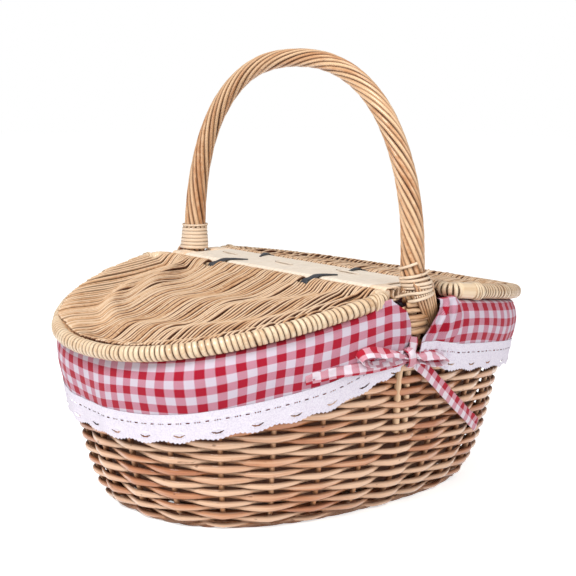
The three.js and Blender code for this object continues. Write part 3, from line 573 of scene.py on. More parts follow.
turn = np.linspace(0, np.pi, arch_points)
bow = np.stack([np.zeros(arch_points), arch_half_width * rounded(np.cos(turn), arch_exponent),
                arch_spring + (arch_top - arch_spring) * np.abs(np.sin(turn)) ** (2 / arch_exponent)], -1)
foot = np.array([[0, bundle_foot_y, bundle_bottom],
                 [0, (arch_half_width + bundle_foot_y) / 2, (arch_spring + bundle_bottom) / 2]])
arch = evenly(np.concatenate([foot, bow, foot[::-1] * np.array([1, -1, 1])]), arch_points)
rise = np.clip((arch[:, 2] - bundle_bottom) / (arch_top - bundle_bottom), 0, 1)
size = foot_size + (top_size - foot_size) * rise
size = size * (1 + 0.05 * np.clip(1 - rise / 0.5, 0, 1) * (arch[:, 1] > 0))
side = np.broadcast_to(np.array([1.0, 0, 0]), arch.shape)
face = np.cross(unit(np.gradient(arch, axis=0)), side)
part = np.linspace(0, 1, arch_points)
rng = random.Random(16)
handle_strands = [strand(arch, side, size * 0.66, size * 0.66, 1.0, sides=10)]
for k in range(fine_rods):
    angle = 2 * np.pi * (twist_turns * (0.62 * part + 0.38 * part ** 2) + k / fine_rods)
    angle = angle + 0.05 * smooth_noise(rng, arch_points, 9, False)
    rod = size * (0.217 + 0.014 * smooth_noise(rng, arch_points, 7, False)) * rng.uniform(0.93, 1.05)
    ring = size - rod * (1.0 + 0.08 * smooth_noise(rng, arch_points, 11, False))
    away = side * np.cos(angle)[:, None] + face * np.sin(angle)[:, None]
    tone = min(max(rng.gauss(0.42, 0.2), 0.05), 0.95) + 0.1 * smooth_noise(rng, arch_points, 6, False)
    tone = np.clip(tone + 0.16 * np.clip(1 - rise / 0.6, 0, 1), 0, 1)
    # The shade painted between the handle's rods varies along each rod.
    crease_shade = np.clip(0.85 + 0.3 * smooth_noise(rng, arch_points, 12, False), 0.4, 1)
    handle_strands.append(strand(arch + away * ring[:, None], away, rod, rod, tone, sides=12, crease_shade=crease_shade))
for sign in (-1, 1):
    for place in (-1, 1):
        heights = np.linspace(leg_end + rng.uniform(-2, 1.5) * MM, bundle_bottom + 6 * MM, 24)
        leg = wall_point(sign * np.pi / 2, heights)
        leg[:, 0] = place * leg_spread + sign * np.interp(heights, leg_sway_heights, leg_sway)
        leg[:, 1] += sign * leg_stand
        pull = np.clip((heights - 150 * MM) / (30 * MM), 0, 1)
        leg[:, 1] += (sign * bundle_foot_y - leg[:, 1]) * pull
        handle_strands.append(strand(leg, (0, sign, 0), leg_radius, leg_radius, rng.uniform(0.0, 0.12), sides=12,
                                     crease_shade=0.4))
handle = bundle("handle_rods", handle_strands, handle_willow)
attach(handle, "basket")
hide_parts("handle")

# Splayed rods. The ends of the handle's fine rods leave it below its collar and spread over
# the rim and down the wall, leaning to one side. Beside them short rods are wound round the
# handle's legs, level with the rim.
splay_rod = 1.25 * MM
splay_rods_each = 7
wound_half_thickness = 1.6 * MM
wound_stand = 6.3 * MM
splay_heights = np.array([186, 180, 173, 165, 157, 146, 136]) * MM
splay_first = np.array([-7, -9.5, -10.9, -4.5, 3.4, 13.5, 19]) * MM
splay_step = np.array([2.2, 2.8, 3.05, 2.7, 2.2, 1.7, 1.3]) * MM
splay_stand = np.array([7.4, 10.2, 9.2, 6.4, 5.0, 4.6]) * MM
wound_heights = (169.0 * MM, 163.8 * MM, 158.4 * MM, 152.6 * MM, 147.2 * MM)


def soften(line, times):
    """Rounds the bends of a line. Its ends stay."""
    for _ in range(times):
        line[1:-1] = (line[:-2] + 2 * line[1:-1] + line[2:]) / 4


rng = random.Random(17)
splay = []
for sign in (-1, 1):
    # More shade is painted between the near splayed rods than between the far ones.
    crease_shade = 0.8 if sign < 0 else 0.3
    rest = wall_point(sign * np.pi / 2, splay_heights)[:, 1] * sign
    for i in range(splay_rods_each):
        crowned = 0.4 * MM * abs(i - splay_rods_each // 2)
        out = np.concatenate([[bundle_foot_y + 3 * MM], rest[1:] + splay_stand]) - crowned
        path = np.stack([-sign * (splay_first + i * splay_step), sign * out, splay_heights], -1)
        path = points_at(path, np.arange(len(path)), np.linspace(0, len(path) - 1, 36))
        soften(path, 5)
        splay.append(strand(path, (0, sign, 0), splay_rod, splay_rod, rng.uniform(0.1, 0.6), sides=10, crease_shade=crease_shade))
    for i, high in enumerate(wound_heights):
        lean = np.linspace(-15, 8.5 - 1.2 * i, 22) * MM
        out = sign * wall_point(sign * np.pi / 2, high)[1]
        out = out + wound_stand + 1.5 * MM * rng.uniform(-0.3, 0.5) - 3.2 * MM * (lean / (15 * MM)) ** 2
        level = high + rng.uniform(-0.4, 0.4) * MM + 0.05 * lean
        wide = rng.uniform(2.0, 2.45) * MM * (1 + 0.05 * smooth_noise(rng, 22, 4, False))
        splay.append(strand(np.stack([-sign * lean, sign * out, level], -1), (0, sign, 0), wide,
                            wound_half_thickness, rng.uniform(0.2, 0.6), sides=10, corner=2.3, crease_shade=crease_shade))
splay_rods = bundle("splayed_rods", splay, handle_willow)
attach(splay_rods, "basket")

# Collars. Split peel is wound round each foot of the handle and ties its fine rods together.
# The far one is six flat turns under a thin one. The near one slants, holds the splayed rods
# too, and ends in one loose turn above and two long ends that cross over the splayed rods.
peeled_willow = willow("peeled_willow", (0.95, 0.74, 0.54), (0.82, 0.57, 0.37), (0.46, 0.24, 0.11),
                       streaks=0.4, scars=0.3, varnish=0.6)
near_side = np.array([0.752, -0.659])
near_middle = 176 * MM
far_first_turn = 182.6 * MM
far_turn_step = 3.15 * MM
far_turn_half = 1.62 * MM
far_top_turn = 202.2 * MM
far_stitches = 16
far_stitch_height = 200.6 * MM
# How much shade is painted where the turns of peel meet.
peel_crease_shade = 0.55
peel_corner = 2.6


def foot_centre(sign, z):
    """How far out the handle's foot is at a height."""
    climb = max(z - arch_spring, 0) / (arch_top - arch_spring)
    lean = min(max((arch_spring - z) / (arch_spring - bundle_bottom), 0), 1)
    return sign * (arch_half_width * (1 - climb ** arch_exponent) ** (1 / arch_exponent)
                   + lean * (bundle_foot_y - arch_half_width))


def turn_of_peel(sign, level, slope, half, shift, tall, tone, ends=None, thick=0.8 * MM):
    """One turn round a foot, or the part of it between two angles. shift moves it outward."""
    angle = np.linspace(0, 2 * np.pi, 48, endpoint=False) if ends is None else np.radians(np.linspace(*ends, 36))
    out = np.stack([np.cos(angle), np.sin(angle) * sign], -1)
    shape = out * np.array(half) * MM + np.array([0, sign * shift * MM])
    path = np.stack([shape[:, 0], foot_centre(sign, level) + shape[:, 1], level + slope * (shape @ near_side)], -1)
    away = np.stack([out[:, 0], out[:, 1], 0 * angle], -1)
    return strand(path, away, tall, thick, tone, sides=10, ring=ends is None, corner=peel_corner, crease_shade=peel_crease_shade)


def loose_length(places, tall, tone, dashes=0):
    """Peel over the near foot, whole or in dashes. Its places are along near_side, outward and up."""
    places = np.array(places) * MM
    line = points_at(places, np.arange(len(places)), np.linspace(0, len(places) - 1, 60))
    soften(line, 12)
    along, front, high = line.T
    away = np.stack([along * near_side[0] + front * near_side[1], along * near_side[1] - front * near_side[0],
                     0 * high], -1)
    path = away + np.array([0, foot_centre(-1, near_middle), 0])
    path[:, 2] = high
    if not dashes:
        return [strand(path, away, tall, 0.85 * MM, tone, sides=10, corner=peel_corner, crease_shade=peel_crease_shade)]
    cuts = np.linspace(0, len(path), dashes + 1).astype(int)
    return [strand(path[a:b - 2], away[a:b - 2], tall, 0.7 * MM, tone, corner=peel_corner, crease_shade=0.5)
            for a, b in zip(cuts, cuts[1:])]


rng = random.Random(18)
far_turns = []
for k in range(6):
    slope, radius = 0.02 * rng.uniform(-1, 1), 12.0 - 0.28 * k
    far_turns.append(turn_of_peel(1, far_first_turn + far_turn_step * k, slope, (radius, radius), 0.3,
                                  far_turn_half * rng.uniform(0.94, 1.04), rng.uniform(0.0, 0.4)))
far_turns.append(turn_of_peel(1, far_top_turn, 0.02, (10.9, 10.9), 0, 0.95 * MM, 0.1))
for k in range(far_stitches):
    middle = 360 * k / far_stitches
    far_turns.append(turn_of_peel(1, far_stitch_height, 0, (10.4, 10.4), 0, 0.7 * MM, 0.3,
                                  (middle - 7, middle + 7), 0.7 * MM))
near_turns = [turn_of_peel(-1, level * MM, slope, half, shift, tall * MM, tone, ends)
              for level, slope, half, shift, tall, tone, ends in (
                  (188.2, 0.21, (10.0, 10.0), 0.5, 1.35, 0.1, None),
                  (185.2, 0.17, (10.2, 11.0), 2.0, 1.4, 0.3, None),
                  (182.3, 0.16, (10.2, 11.9), 3.4, 1.35, 0.05, None),
                  (179.8, 0.13, (9.8, 11.2), 4.2, 1.05, 0.2, None),
                  (197.6, 0.43, (9.9, 9.9), 0, 1.15, 0.1, (262, 116)))]
for places, tall, tone, dashes in (
        (((5, 8, 189.5), (8, 7.5, 191.2), (10.5, 6, 193.6)), 0.8, 0.2, 0),
        (((-9, 8, 176.6), (-4, 13.5, 177.3), (3, 15, 178.3), (9, 12, 179.2), (13, 5, 179.6)), 0.9, 0.15, 12),
        (((-15.8, 4, 170.9), (-9.5, 11, 174.2), (-3.8, 15.5, 176.4), (1.5, 18.2, 177.2), (6, 17, 177.9),
          (10, 13.2, 178.5), (13.2, 7, 178.9), (13.2, 0, 179.4)), 1.25, 0.02, 0),
        (((-1, 18.5, 174.2), (4, 18.6, 175.2), (9, 15.5, 176.2), (13.2, 9, 176.9)), 0.9, 0.15, 9),
        (((-5.1, 14.5, 170.2), (-1, 18.4, 171.6), (4, 19.4, 173.2), (9, 16.5, 174.6), (13.4, 9.5, 175.6),
          (15, 2, 176.4)), 1.3, 0.1, 0)):
    near_turns += loose_length(places, tall * MM, tone, dashes)
for name, turns_of_peel in (("near", near_turns), ("far", far_turns)):
    collar = bundle(f"collar_{name}_peel", turns_of_peel, peeled_willow)
    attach(collar, "basket")
    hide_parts(f"collar_{name}")

# Cross bar. A pale slat lies between the handle's feet and is wound edge to edge with flat
# peel. The peel's ends are tucked in as slivers along the bar, and end in small cut rolls.
bar_peel = willow("bar_peel", (0.94, 0.82, 0.68), (0.90, 0.76, 0.61), (0.74, 0.56, 0.40),
                  streaks=0.6, scars=0.1, varnish=0.2)
bar_top = hinge_height + 6.1 * MM
bar_half_width = 27.5 * MM
slat_half_thickness = 4 * MM
winding_half_length = 118 * MM
winding_pitch = 5.4 * MM
winding_stand = 0.9 * MM
winding_half_width = 0.52 * winding_pitch
winding_half_thickness = 0.55 * MM
end_roll_x = 19 * MM
end_roll_half = 8.4 * MM
tongue_x = 23 * MM
tongue_half = 4.2 * MM
cut_roll_x = 13.2 * MM
cut_roll_stand = 13.4 * MM
cut_roll_depth = 3.2 * MM
bar_middle = bar_top - 1.5 * MM - slat_half_thickness
rng = random.Random(19)
slat_end = bundle_foot_y - foot_size - 2.3 * MM
slat_path = np.stack([np.zeros(24), np.linspace(-slat_end, slat_end, 24), np.full(24, bar_middle)], -1)
slat = bundle("bar_slat_wood", [strand(slat_path, upward, bar_half_width - 1.6 * MM, slat_half_thickness, 0.3,
                                       sides=32, corner=9)], bar_peel)
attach(slat, "basket")
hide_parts("bar_slat")


def round_box(half_width, half_height, corner, count):
    """The outline of the slat's section, in equal steps."""
    points = []
    for quarter, (sx, sz) in enumerate(((1, 1), (-1, 1), (-1, -1), (1, -1))):
        angle = np.linspace(0, np.pi / 2, 6) + quarter * np.pi / 2
        points.extend(np.stack([sx * (half_width - corner) + corner * np.cos(angle),
                                sz * (half_height - corner) + corner * np.sin(angle)], -1))
    outline = np.array(points + points[:1])
    length = walked(outline)
    return points_at(outline, length, np.linspace(0, length[-1], count, endpoint=False))


turns_of_peel = []
for k in range(int(2 * winding_half_length / winding_pitch)):
    x, z = round_box(bar_half_width - 0.6 * MM, slat_half_thickness + winding_stand, 2.4 * MM, 72).T
    y = winding_pitch * (k + 0.5) - winding_half_length
    path = np.stack([x, y + x * 0.02 + 0.2 * MM * smooth_noise(rng, 72, 5),
                     bar_middle + z + rng.uniform(-0.1, 0.12) * MM], -1)
    on_edge = np.abs(z) < slat_half_thickness * 0.6
    out = np.stack([np.where(on_edge, np.sign(x), x * 0.12), 0 * x, np.where(on_edge, 0, z)], -1)
    turns_of_peel.append(strand(path, unit(out), winding_half_width * rng.uniform(0.99, 1.01),
                                winding_half_thickness, rng.uniform(0.05, 0.5), sides=12, ring=True, corner=6,
                                crease_shade=0.2))
end_turns = []
for sign in (-1, 1):
    for side in (-1, 1):
        for k in range(3):
            x, z = round_box(end_roll_half - 0.5 * MM * k, slat_half_thickness + winding_stand, 2.6 * MM, 40).T
            y = sign * (winding_half_length + winding_pitch * (k + 0.35))
            path = np.stack([side * end_roll_x + x, y + 0 * x, bar_middle + z], -1)
            out = unit(np.stack([x * 0.3, 0 * x, z], -1))
            end_turns.append(strand(path, out, winding_half_width, 0.8 * MM, rng.uniform(0.05, 0.4), sides=12,
                                    ring=True, corner=6, crease_shade=0.0))
        tip = np.linspace(-3, 15.2, 24) * MM
        round_off = np.sqrt(np.clip(1 - (np.clip(tip - 11 * MM, 0, None) / (4.4 * MM)) ** 2, 0.02, 1))
        path = np.stack([side * tongue_x + 0 * tip, sign * (winding_half_length + tip), bar_middle + 0 * tip], -1)
        end_turns.append(strand(path, upward, tongue_half * round_off,
                                (slat_half_thickness + 0.6 * MM) * round_off, 0.0, sides=16, corner=3, crease_shade=0.0))
        roll = np.linspace(0, 2 * np.pi, 30, endpoint=False)
        away = np.stack([np.cos(roll), 0 * roll, np.sin(roll)], -1)
        # The ring set back in the roll's hollow is deeper in tone and has shade painted on it: painted shade in the
        # hollow.
        for depth in (0, 1):
            path = np.stack([side * (cut_roll_x + 4.2 * MM * np.cos(roll)),
                             sign * (winding_half_length + cut_roll_stand - cut_roll_depth * depth) + 0 * roll,
                             bar_middle - 0.2 * MM + 4.6 * MM * np.sin(roll)], -1)
            end_turns.append(strand(path, away, 1.9 * MM, 0.6 * MM, 0.2 + 0.6 * depth, sides=10, ring=True,
                                    corner=4, crease_shade=0.6 * depth))
bar_ends = bundle("bar_end_turns", end_turns, peeled_willow)
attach(bar_ends, "basket")
slivers = ((5, 89, 20), (1, 12, 22), (8, -58, 26))
for x, y, length in slivers:
    part = np.linspace(0, 1, 20)
    sliver = np.stack([(x - 1.5 * part) * MM, (y + (0.5 - part) * length) * MM,
                       bar_top + (0.25 + 0.5 * np.sin(np.pi * part)) * MM], -1)
    wide = 2.3 * MM * np.sin(np.pi * np.clip(0.06 + 0.91 * part, 0, 1)) ** 0.6
    turns_of_peel.append(strand(sliver, upward, wide, 0.45 * MM, 0.35, corner=3, crease_shade=0.3))
    notch = sliver[:7] + np.array([0.6, 2.5, 0.1]) * MM
    turns_of_peel.append(strand(notch, upward, 0.9 * MM * np.sin(np.pi * np.linspace(0.1, 0.9, 7)), 0.35 * MM,
                                1.0, crease_shade=1.0))
winding = bundle("bar_winding_peel", turns_of_peel, bar_peel)
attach(winding, "basket")
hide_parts("bar_winding")

# Lids. Each is a rod bent into a D, with curved ribs in pairs inside it. Fine rods, laid two
# deep, run from the hinge edge to the rim and wave over the ribs, all rising and sinking
# together. They curl round the rod at the hinge edge, and a peel binding holds their ends.
lid_willow = willow("lid_willow", (0.97, 0.70, 0.46), (0.81, 0.49, 0.26), (0.42, 0.16, 0.04),
                    streaks=0.6, scars=0.4, varnish=0.7)
binding_peel = willow("binding_peel", (0.93, 0.73, 0.50), (0.80, 0.55, 0.33), (0.36, 0.16, 0.05),
                      streaks=0.45, scars=0.3, varnish=0.7)
lid_half_width = 143.4 * MM
lid_exponent = 2.15
lid_corner = 9 * MM
frame_rod = 3.2 * MM
binding_radius = 6 * MM
binding_start = 9.5 * MM
binding_thick = 0.85 * MM
per_turn = 16
rib_places = (0.35, 0.65, 1.35, 1.65)
rib_radius = 1.5 * MM
rib_end = 8 * MM
lid_rod = 1.3 * MM
lid_pair_step = 2.5 * MM
lid_next_pair = 1.05 * MM
lid_swing = 2.3 * MM
lower_layer = 2.1 * MM
rim_rise = 4.4 * MM
rod_inset = binding_radius - 1.8 * MM
rod_points = 84
rod_start = 5 * MM
past_edge_start = 14 * MM
past_edge_run = 8 * MM
hinge_blend = 12 * MM
strap_spread = 59 * MM
strap_gap = (-8.4 * MM, 5.7 * MM)
# The front lid's far rods sink into a last hollow and then run up over the binding.
flat_from, flat_run = 8 * MM, 34 * MM
over_from, over_run, over_reach = 56 * MM, 20 * MM, 3.6 * MM
last_hollow = 3.4 * MM
last_climb = 8.6 * MM
sunk_rib = 3.2 * MM
sunk_binding = 1.3 * MM
# For each lid's binding: the turns' widths, how much of a turn's width its peel fills, how much shade is painted
# where turns meet, and the turns' mean tone.
binding_looks = {
    "front": {"widths": (3.8, 4.2, 4.6, 5.0), "fill": (0.88, 0.92, 0.94, 0.96), "crease_shade": 0.62, "brown": 0.44},
    "back": {"widths": (3.0, 3.4, 3.8, 4.2, 4.6, 5.0, 6.4), "fill": (0.8, 0.86, 0.92, 0.96), "crease_shade": 0.85,
             "brown": 0.58},
}


def lid_place(lid, distance, y, lift=0.0):
    """A point of a lid's middle surface, by its distance from the hinge. lift raises it."""
    distance, y, lift = np.broadcast_arrays(np.asarray(distance, float), y, lift)
    return np.stack([lid["sign"] * (hinge_x + distance), y, hinge_height - lid_drop(lid, distance) + lift], -1)


def wave_oval(place):
    """Reach and half width of the wave line at a place. Whole numbers are the troughs."""
    return ((42 + 71.5 * place - 9.5 * place ** 2) * MM, (86 + 29.5 * place - 3.5 * place ** 2) * MM)


def wave_place(distance, y):
    """The place among the waves of a point of the lid."""
    low, high = np.full(np.shape(distance), -0.54), np.full(np.shape(distance), 3.4)
    for _ in range(22):
        middle = (low + high) / 2
        reach, width = wave_oval(middle)
        beyond = (distance / reach) ** 2 + (y / width) ** 2 > 1
        low, high = np.where(beyond, middle, low), np.where(beyond, high, middle)
    return low


for name, lid in lids.items():
    body = f"lid_{name}"
    far = name == "front"
    rng = random.Random(20 if name == "front" else 21)
    lean = np.pi / 2 * np.sin(np.pi / 2 * np.linspace(-1, 1, 121))
    arc = np.stack([lid["reach"] * np.cos(lean) ** (2 / lid_exponent),
                    lid_half_width * rounded(np.sin(lean), lid_exponent)], -1)
    arc = evenly(arc, 900)
    arc = arc[arc[:, 0] > binding_start]
    rim_path = lid_place(lid, arc[:, 0], arc[:, 1])
    bend = np.linspace(0.1, 0.9, 7) * np.pi / 2
    corner = lid_place(lid, lid_corner * (1 - np.sin(bend)), lid_half_width - lid_corner * (1 - np.cos(bend)))
    straight = lid_place(lid, 0, np.linspace(1, -1, 40)[1:-1] * (lid_half_width - lid_corner))
    loop = np.concatenate([rim_path[::6], corner, straight, (corner * np.array([1, -1, 1]))[::-1]])
    frame_piece = bundle(f"lid_{name}_frame_rod", [strand(loop, upward, frame_rod, frame_rod, sides=12, ring=True)],
                         binding_peel)
    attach(frame_piece, body)
    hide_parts(f"lid_{name}_frame")

    ribs = []
    for place in rib_places:
        reach, width = wave_oval(place)
        bend = math.acos(rib_end / reach) * np.linspace(-1, 1, 60)
        lift = -lid_swing * math.cos(2 * math.pi * place) - 3.4 * MM - rib_radius
        if far and place > 1.5:
            lift = lift - sunk_rib * ease((width * np.sin(bend) - flat_from) / flat_run)
        path = lid_place(lid, reach * np.cos(bend), width * np.sin(bend), lift)
        ribs.append(strand(path, upward, rib_radius, rib_radius, rng.uniform(0.4, 0.8), sides=10))
    rib_piece = bundle(f"lid_{name}_ribs", ribs, lid_willow)
    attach(rib_piece, body)
    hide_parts(*[f"lid_{name}_rib_{i}" for i in range(1, 5)])

    rods = []
    curl = frame_rod + 0.3 * MM + lid_rod
    curl_angle = np.linspace(np.pi, 0, 12)[:-1] + np.pi / 2
    edge = lid_half_width - lid_corner
    y = -edge
    left = 0
    while y < edge + (past_edge_run if far else 0):
        past_edge = y > edge
        if left == 0:
            left = rng.choice((4, 6, 6, 8, 10))
            shift, gain = rng.uniform(-0.06, 0.06), rng.uniform(0.8, 1.15)
            drift = 1.0 * MM * smooth_noise(rng, rod_points, 5, False)
        over = far * min(max((y - over_from) / over_run, 0), 1)
        flat = far * min(max((y - flat_from) / flat_run, 0), 1)
        reach, half = (size - rod_inset + over_reach * over for size in (lid["reach"], lid_half_width))
        end = reach * (1 - min(abs(y) / half, 1) ** lid_exponent) ** (1 / lid_exponent)
        u = np.linspace(0, end, rod_points)
        place = wave_place(u, y)
        out = ((u / reach) ** lid_exponent + (abs(y) / half) ** lid_exponent) ** (1 / lid_exponent)
        near = ease(1 - u / hinge_blend)
        wave = -np.cos(2 * np.pi * (place + shift + 0.02 * smooth_noise(rng, rod_points, 5, False)))
        wave = lid_swing * gain * wave + rim_rise * np.clip(place - 2, 0, 1)
        dip = flat * ease((out - 0.73) / 0.1)
        wave = wave * (1 - dip) + (last_climb * ease((out - 0.8) / 0.2) - last_hollow) * dip
        wave = wave * (1 - near)
        wander = drift + 0.22 * MM * smooth_noise(rng, rod_points, 6, False)
        wander = wander * np.clip(u / (30 * MM), 0, 1)
        top = lid_place(lid, u, y + wander, wave + curl * near + rng.uniform(-0.4, 0.4) * MM)
        if past_edge:
            path = top[u > past_edge_start]
        elif any(strap_gap[0] < y - lid["shift"] - side * strap_spread < strap_gap[1] for side in (-1, 1)):
            path = top[4:]
        else:
            around = np.stack([lid["sign"] * (hinge_x + curl * np.cos(curl_angle)), y + 0 * curl_angle,
                               hinge_height + curl * np.sin(curl_angle)], -1)
            path = np.concatenate([lid_place(lid, 6 * MM, y, -curl)[None], around, top])
        size = lid_rod * (1 + 0.06 * smooth_noise(rng, len(path), 5, False)) * rng.uniform(0.9, 1.02)
        tone = np.clip(rng.gauss(0.38, 0.27) + 0.15 * smooth_noise(rng, len(path), 4, False), 0, 1)
        # Less shade is painted between the front lid's far rods where they sink into the last hollow.
        crease_shade = np.concatenate([np.ones(len(path)), 1 - 0.4 * dip])[-len(path):]
        rods.append(strand(path, upward, size, size, tone, crease_shade=crease_shade))
        # The lower layer of rods is real, but its deep tone is painted shade for the gaps between the upper rods.
        lower = lid_place(lid, u, y + lid_pair_step / 2 + wander, wave + curl * near - lower_layer)
        lower = lower[u > (past_edge_start if past_edge else rod_start)][::2]
        rods.append(strand(lower, upward, lid_rod, lid_rod * 0.9, 0.9, sides=6, crease_shade=0.7))
        left -= 1
        y += lid_pair_step + (lid_next_pair * rng.uniform(0.7, 1.3) if left % 2 == 0 else 0)
    weave = bundle(f"lid_{name}_rods", rods, lid_willow)
    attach(weave, body)
    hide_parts(f"lid_{name}_weave")

    looks = binding_looks[name]
    length = walked(rim_path)
    widths = []
    while sum(widths) < length[-1] - 3 * MM:
        widths.append(rng.choice(looks["widths"]) * MM * rng.uniform(0.93, 1.07))
    starts = np.concatenate([[0], np.cumsum(widths)]) * length[-1] / sum(widths)
    widths = np.diff(starts)
    places = np.interp(np.arange(len(widths) * per_turn + 1) / per_turn, np.arange(len(starts)), starts)
    centre = points_at(rim_path, length, places)
    along = unit(np.gradient(centre, axis=0))
    for _ in range(8):
        along[1:-1] = unit(along[:-2] + along[1:-1] + along[2:])
    side = unit(np.cross(upward, along))
    up = np.cross(along, side)
    angle = 2 * np.pi * np.arange(len(places)) / per_turn
    ring = binding_radius - binding_thick * (1 + 0.12 * smooth_noise(rng, len(places), 90, False))
    sunk = np.clip((centre[:, 1] - 60 * MM) / (20 * MM), 0, 1) * far
    for spot in (14 * MM, 55 * MM):
        sunk = sunk * np.clip((np.abs(-centre[:, 0] - hinge_x - spot) - 4 * MM) / (4 * MM), 0, 1)
    ring = ring - sunk_binding * sunk
    away = side * np.cos(angle)[:, None] + up * np.sin(angle)[:, None]
    turn_of = np.minimum(np.arange(len(places)) // per_turn, len(widths) - 1)
    tones = np.array([min(max(rng.gauss(looks["brown"], 0.12), 0), 1) for _ in widths])[turn_of]
    half = widths[turn_of] / 2 * np.array([rng.choice(looks["fill"]) for _ in widths])[turn_of]
    soften(half, 4)
    helix = strand(centre + away * ring[:, None], away, half, binding_thick, tones, sides=10, corner=2.6,
                   crease_shade=looks["crease_shade"])
    # The core fills the binding round the frame rod, where the rods' ends lie. Its deep tone is painted shade, seen
    # in the gaps between the turns.
    core = strand(rim_path[::6], upward, 4.4 * MM, 4.4 * MM, 0.98, sides=10)
    binding = bundle(f"lid_{name}_binding_peel", [helix, core], binding_peel)
    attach(binding, body)
    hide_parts(f"lid_{name}_binding")

    corner_turns = []
    for side in (-1, 1):
        bend = np.linspace(0.06, 0.94, 5) * np.pi / 2
        spots = [(lid_corner * (1 - math.sin(turn)), side * (lid_half_width - lid_corner * (1 - math.cos(turn))),
                  turn, 1.75 * MM, 4.9 * MM) for turn in bend]
        wide_sleeve = name == "back" and side < 0
        spots += [(distance * MM, side * lid_half_width, 0.0, 1.2 * MM, 6.2 * MM)
                  for distance in ((25.6, 28.4, 31.2) if wide_sleeve else (10.4, 13.0))]
        for distance, y, turn, wide, radius in spots:
            centre = lid_place(lid, distance, y)
            along = np.array([-lid["sign"] * math.cos(turn), -side * math.sin(turn), 0])
            angle = np.linspace(0, 2 * np.pi, 24, endpoint=False)
            away = (np.cross(upward, along) * np.cos(angle)[:, None] + np.array(upward) * np.sin(angle)[:, None])
            slant = along * (0.8 * MM * np.cos(angle))[:, None]
            corner_turns.append(strand(centre + away * radius + slant, away, wide, 0.8 * MM, rng.uniform(0.0, 0.6),
                                       sides=10, ring=True, corner=2.6, crease_shade=0.45))
        if wide_sleeve:
            sleeve = lid_place(lid, np.linspace(7.5, 24.5, 12) * MM, side * (lid_half_width - 0.4 * MM))
            corner_turns.append(strand(sleeve, upward, binding_radius * 1.05, binding_radius * 1.05, 0.4, sides=24,
                                       crease_shade=0.0))
    corner_peel = bundle(f"lid_{name}_corner_peel", corner_turns, binding_peel)
    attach(corner_peel, body)

# Straps. Four short thongs of dark leather loop round the lids' hinge rods and lie on the
# bar, where the peel holds them. They are the hinges.
leather, tree, shader = material_of("strap_leather")
place_on = tree.nodes.new("ShaderNodeTexCoord").outputs["Object"]
pores = tree.nodes.new("ShaderNodeTexVoronoi")
pores.inputs["Scale"].default_value = 900
wear = tree.nodes.new("ShaderNodeTexNoise")
wear.inputs["Scale"].default_value = 260
tree.links.new(place_on, pores.inputs["Vector"])
tree.links.new(place_on, wear.inputs["Vector"])
worn = dyed(tree, wear.outputs[0], (0.012, 0.014, 0.019), (0.055, 0.06, 0.072))
tree.links.new(worn, shader.inputs["Base Color"])
raised(tree, shader, pores.outputs[0], 0.35, 0.2 * MM)
shader.inputs["Roughness"].default_value = 0.45
strap_half_width = 3.9 * MM
strap_half_thickness = 0.7 * MM
strap_loop = frame_rod + 0.9 * MM
strap_under = bar_middle - slat_half_thickness - 2.1 * MM
strap_points = 50
slant_part = 0.42
for name, lid in lids.items():
    for i, side in ((1, 1), (2, -1)):
        angle = np.radians(np.linspace(115, -115, 16))
        line = evenly(np.concatenate([
            [[bar_half_width - 17 * MM, bar_top + 0.2 * MM], [bar_half_width - 8 * MM, bar_top + 0.9 * MM],
             [bar_half_width - 1 * MM, bar_top + 0.8 * MM]],
            np.stack([hinge_x + strap_loop * np.cos(angle), hinge_height + strap_loop * np.sin(angle)], -1),
            [[bar_half_width - 1 * MM, strap_under], [bar_half_width - 10 * MM, strap_under]]]), strap_points)
        soften(line, 3)
        part = np.linspace(0, 1, strap_points)
        slant = (-15 if side > 0 else -8) * MM * np.clip(slant_part - part, 0, 1) / slant_part
        path = np.stack([lid["sign"] * line[:, 0], lid["shift"] + side * strap_spread + slant, line[:, 1]], -1)
        out = np.stack([-lid["sign"] * np.gradient(line[:, 1]), 0 * part, np.gradient(line[:, 0])], -1)
        wide = strap_half_width * np.clip(part / 0.34, 0.12, 1) ** 0.7
        strap = bundle(f"strap_{name}_{i}_leather",
                       [strand(path, unit(out), wide, strap_half_thickness, sides=10, corner=3)], leather)
        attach(strap, "basket")
        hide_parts(f"strap_{name}_{i}")

# Liner. A bag of red and white gingham cotton lines the wall. Its rim folds over the border
# and hangs outside in two flaps, which are slit at the handle's feet and end in a narrow hem.
check = 12.7 * MM
twill_pitch = 1.25 * MM
thread_pitch = 0.62 * MM


def gingham_group():
    """Bands both ways, with a fine twill where one band is dyed and the other is not."""
    tree, given, result = effect("gingham_check", (("Red", "Color"), ("Pink", "Color"), ("White", "Color")),
                                 (("Color", "Color"), ("Height", "Float")))
    lengths = ways(tree)
    bands = [between(tree, sum_of(tree, "COSINE", sum_of(tree, "MULTIPLY", sum_of(tree, "DIVIDE", length, check),
                                                         2 * math.pi)), -0.10, 0.10) for length in lengths]
    threads = [sum_of(tree, "SINE", sum_of(tree, "MULTIPLY", length, 2 * math.pi / thread_pitch))
               for length in lengths]
    both = sum_of(tree, "ADD", *bands)
    slanted = sum_of(tree, "MULTIPLY", sum_of(tree, "ADD", *lengths), 2 * math.pi / twill_pitch)
    twill = sum_of(tree, "MULTIPLY", sum_of(tree, "SINE", slanted), 0.3)
    level = sum_of(tree, "MULTIPLY_ADD", twill, sum_of(tree, "COMPARE", both, 1.0, 0.6), both)
    once = dyed(tree, between(tree, level, 0, 1), given["White"], given["Pink"])
    tree.links.new(dyed(tree, between(tree, level, 1, 2), once, given["Red"]), result["Color"])
    tree.links.new(sum_of(tree, "MULTIPLY", *threads), result["Height"])
    return tree


gingham_check = gingham_group()


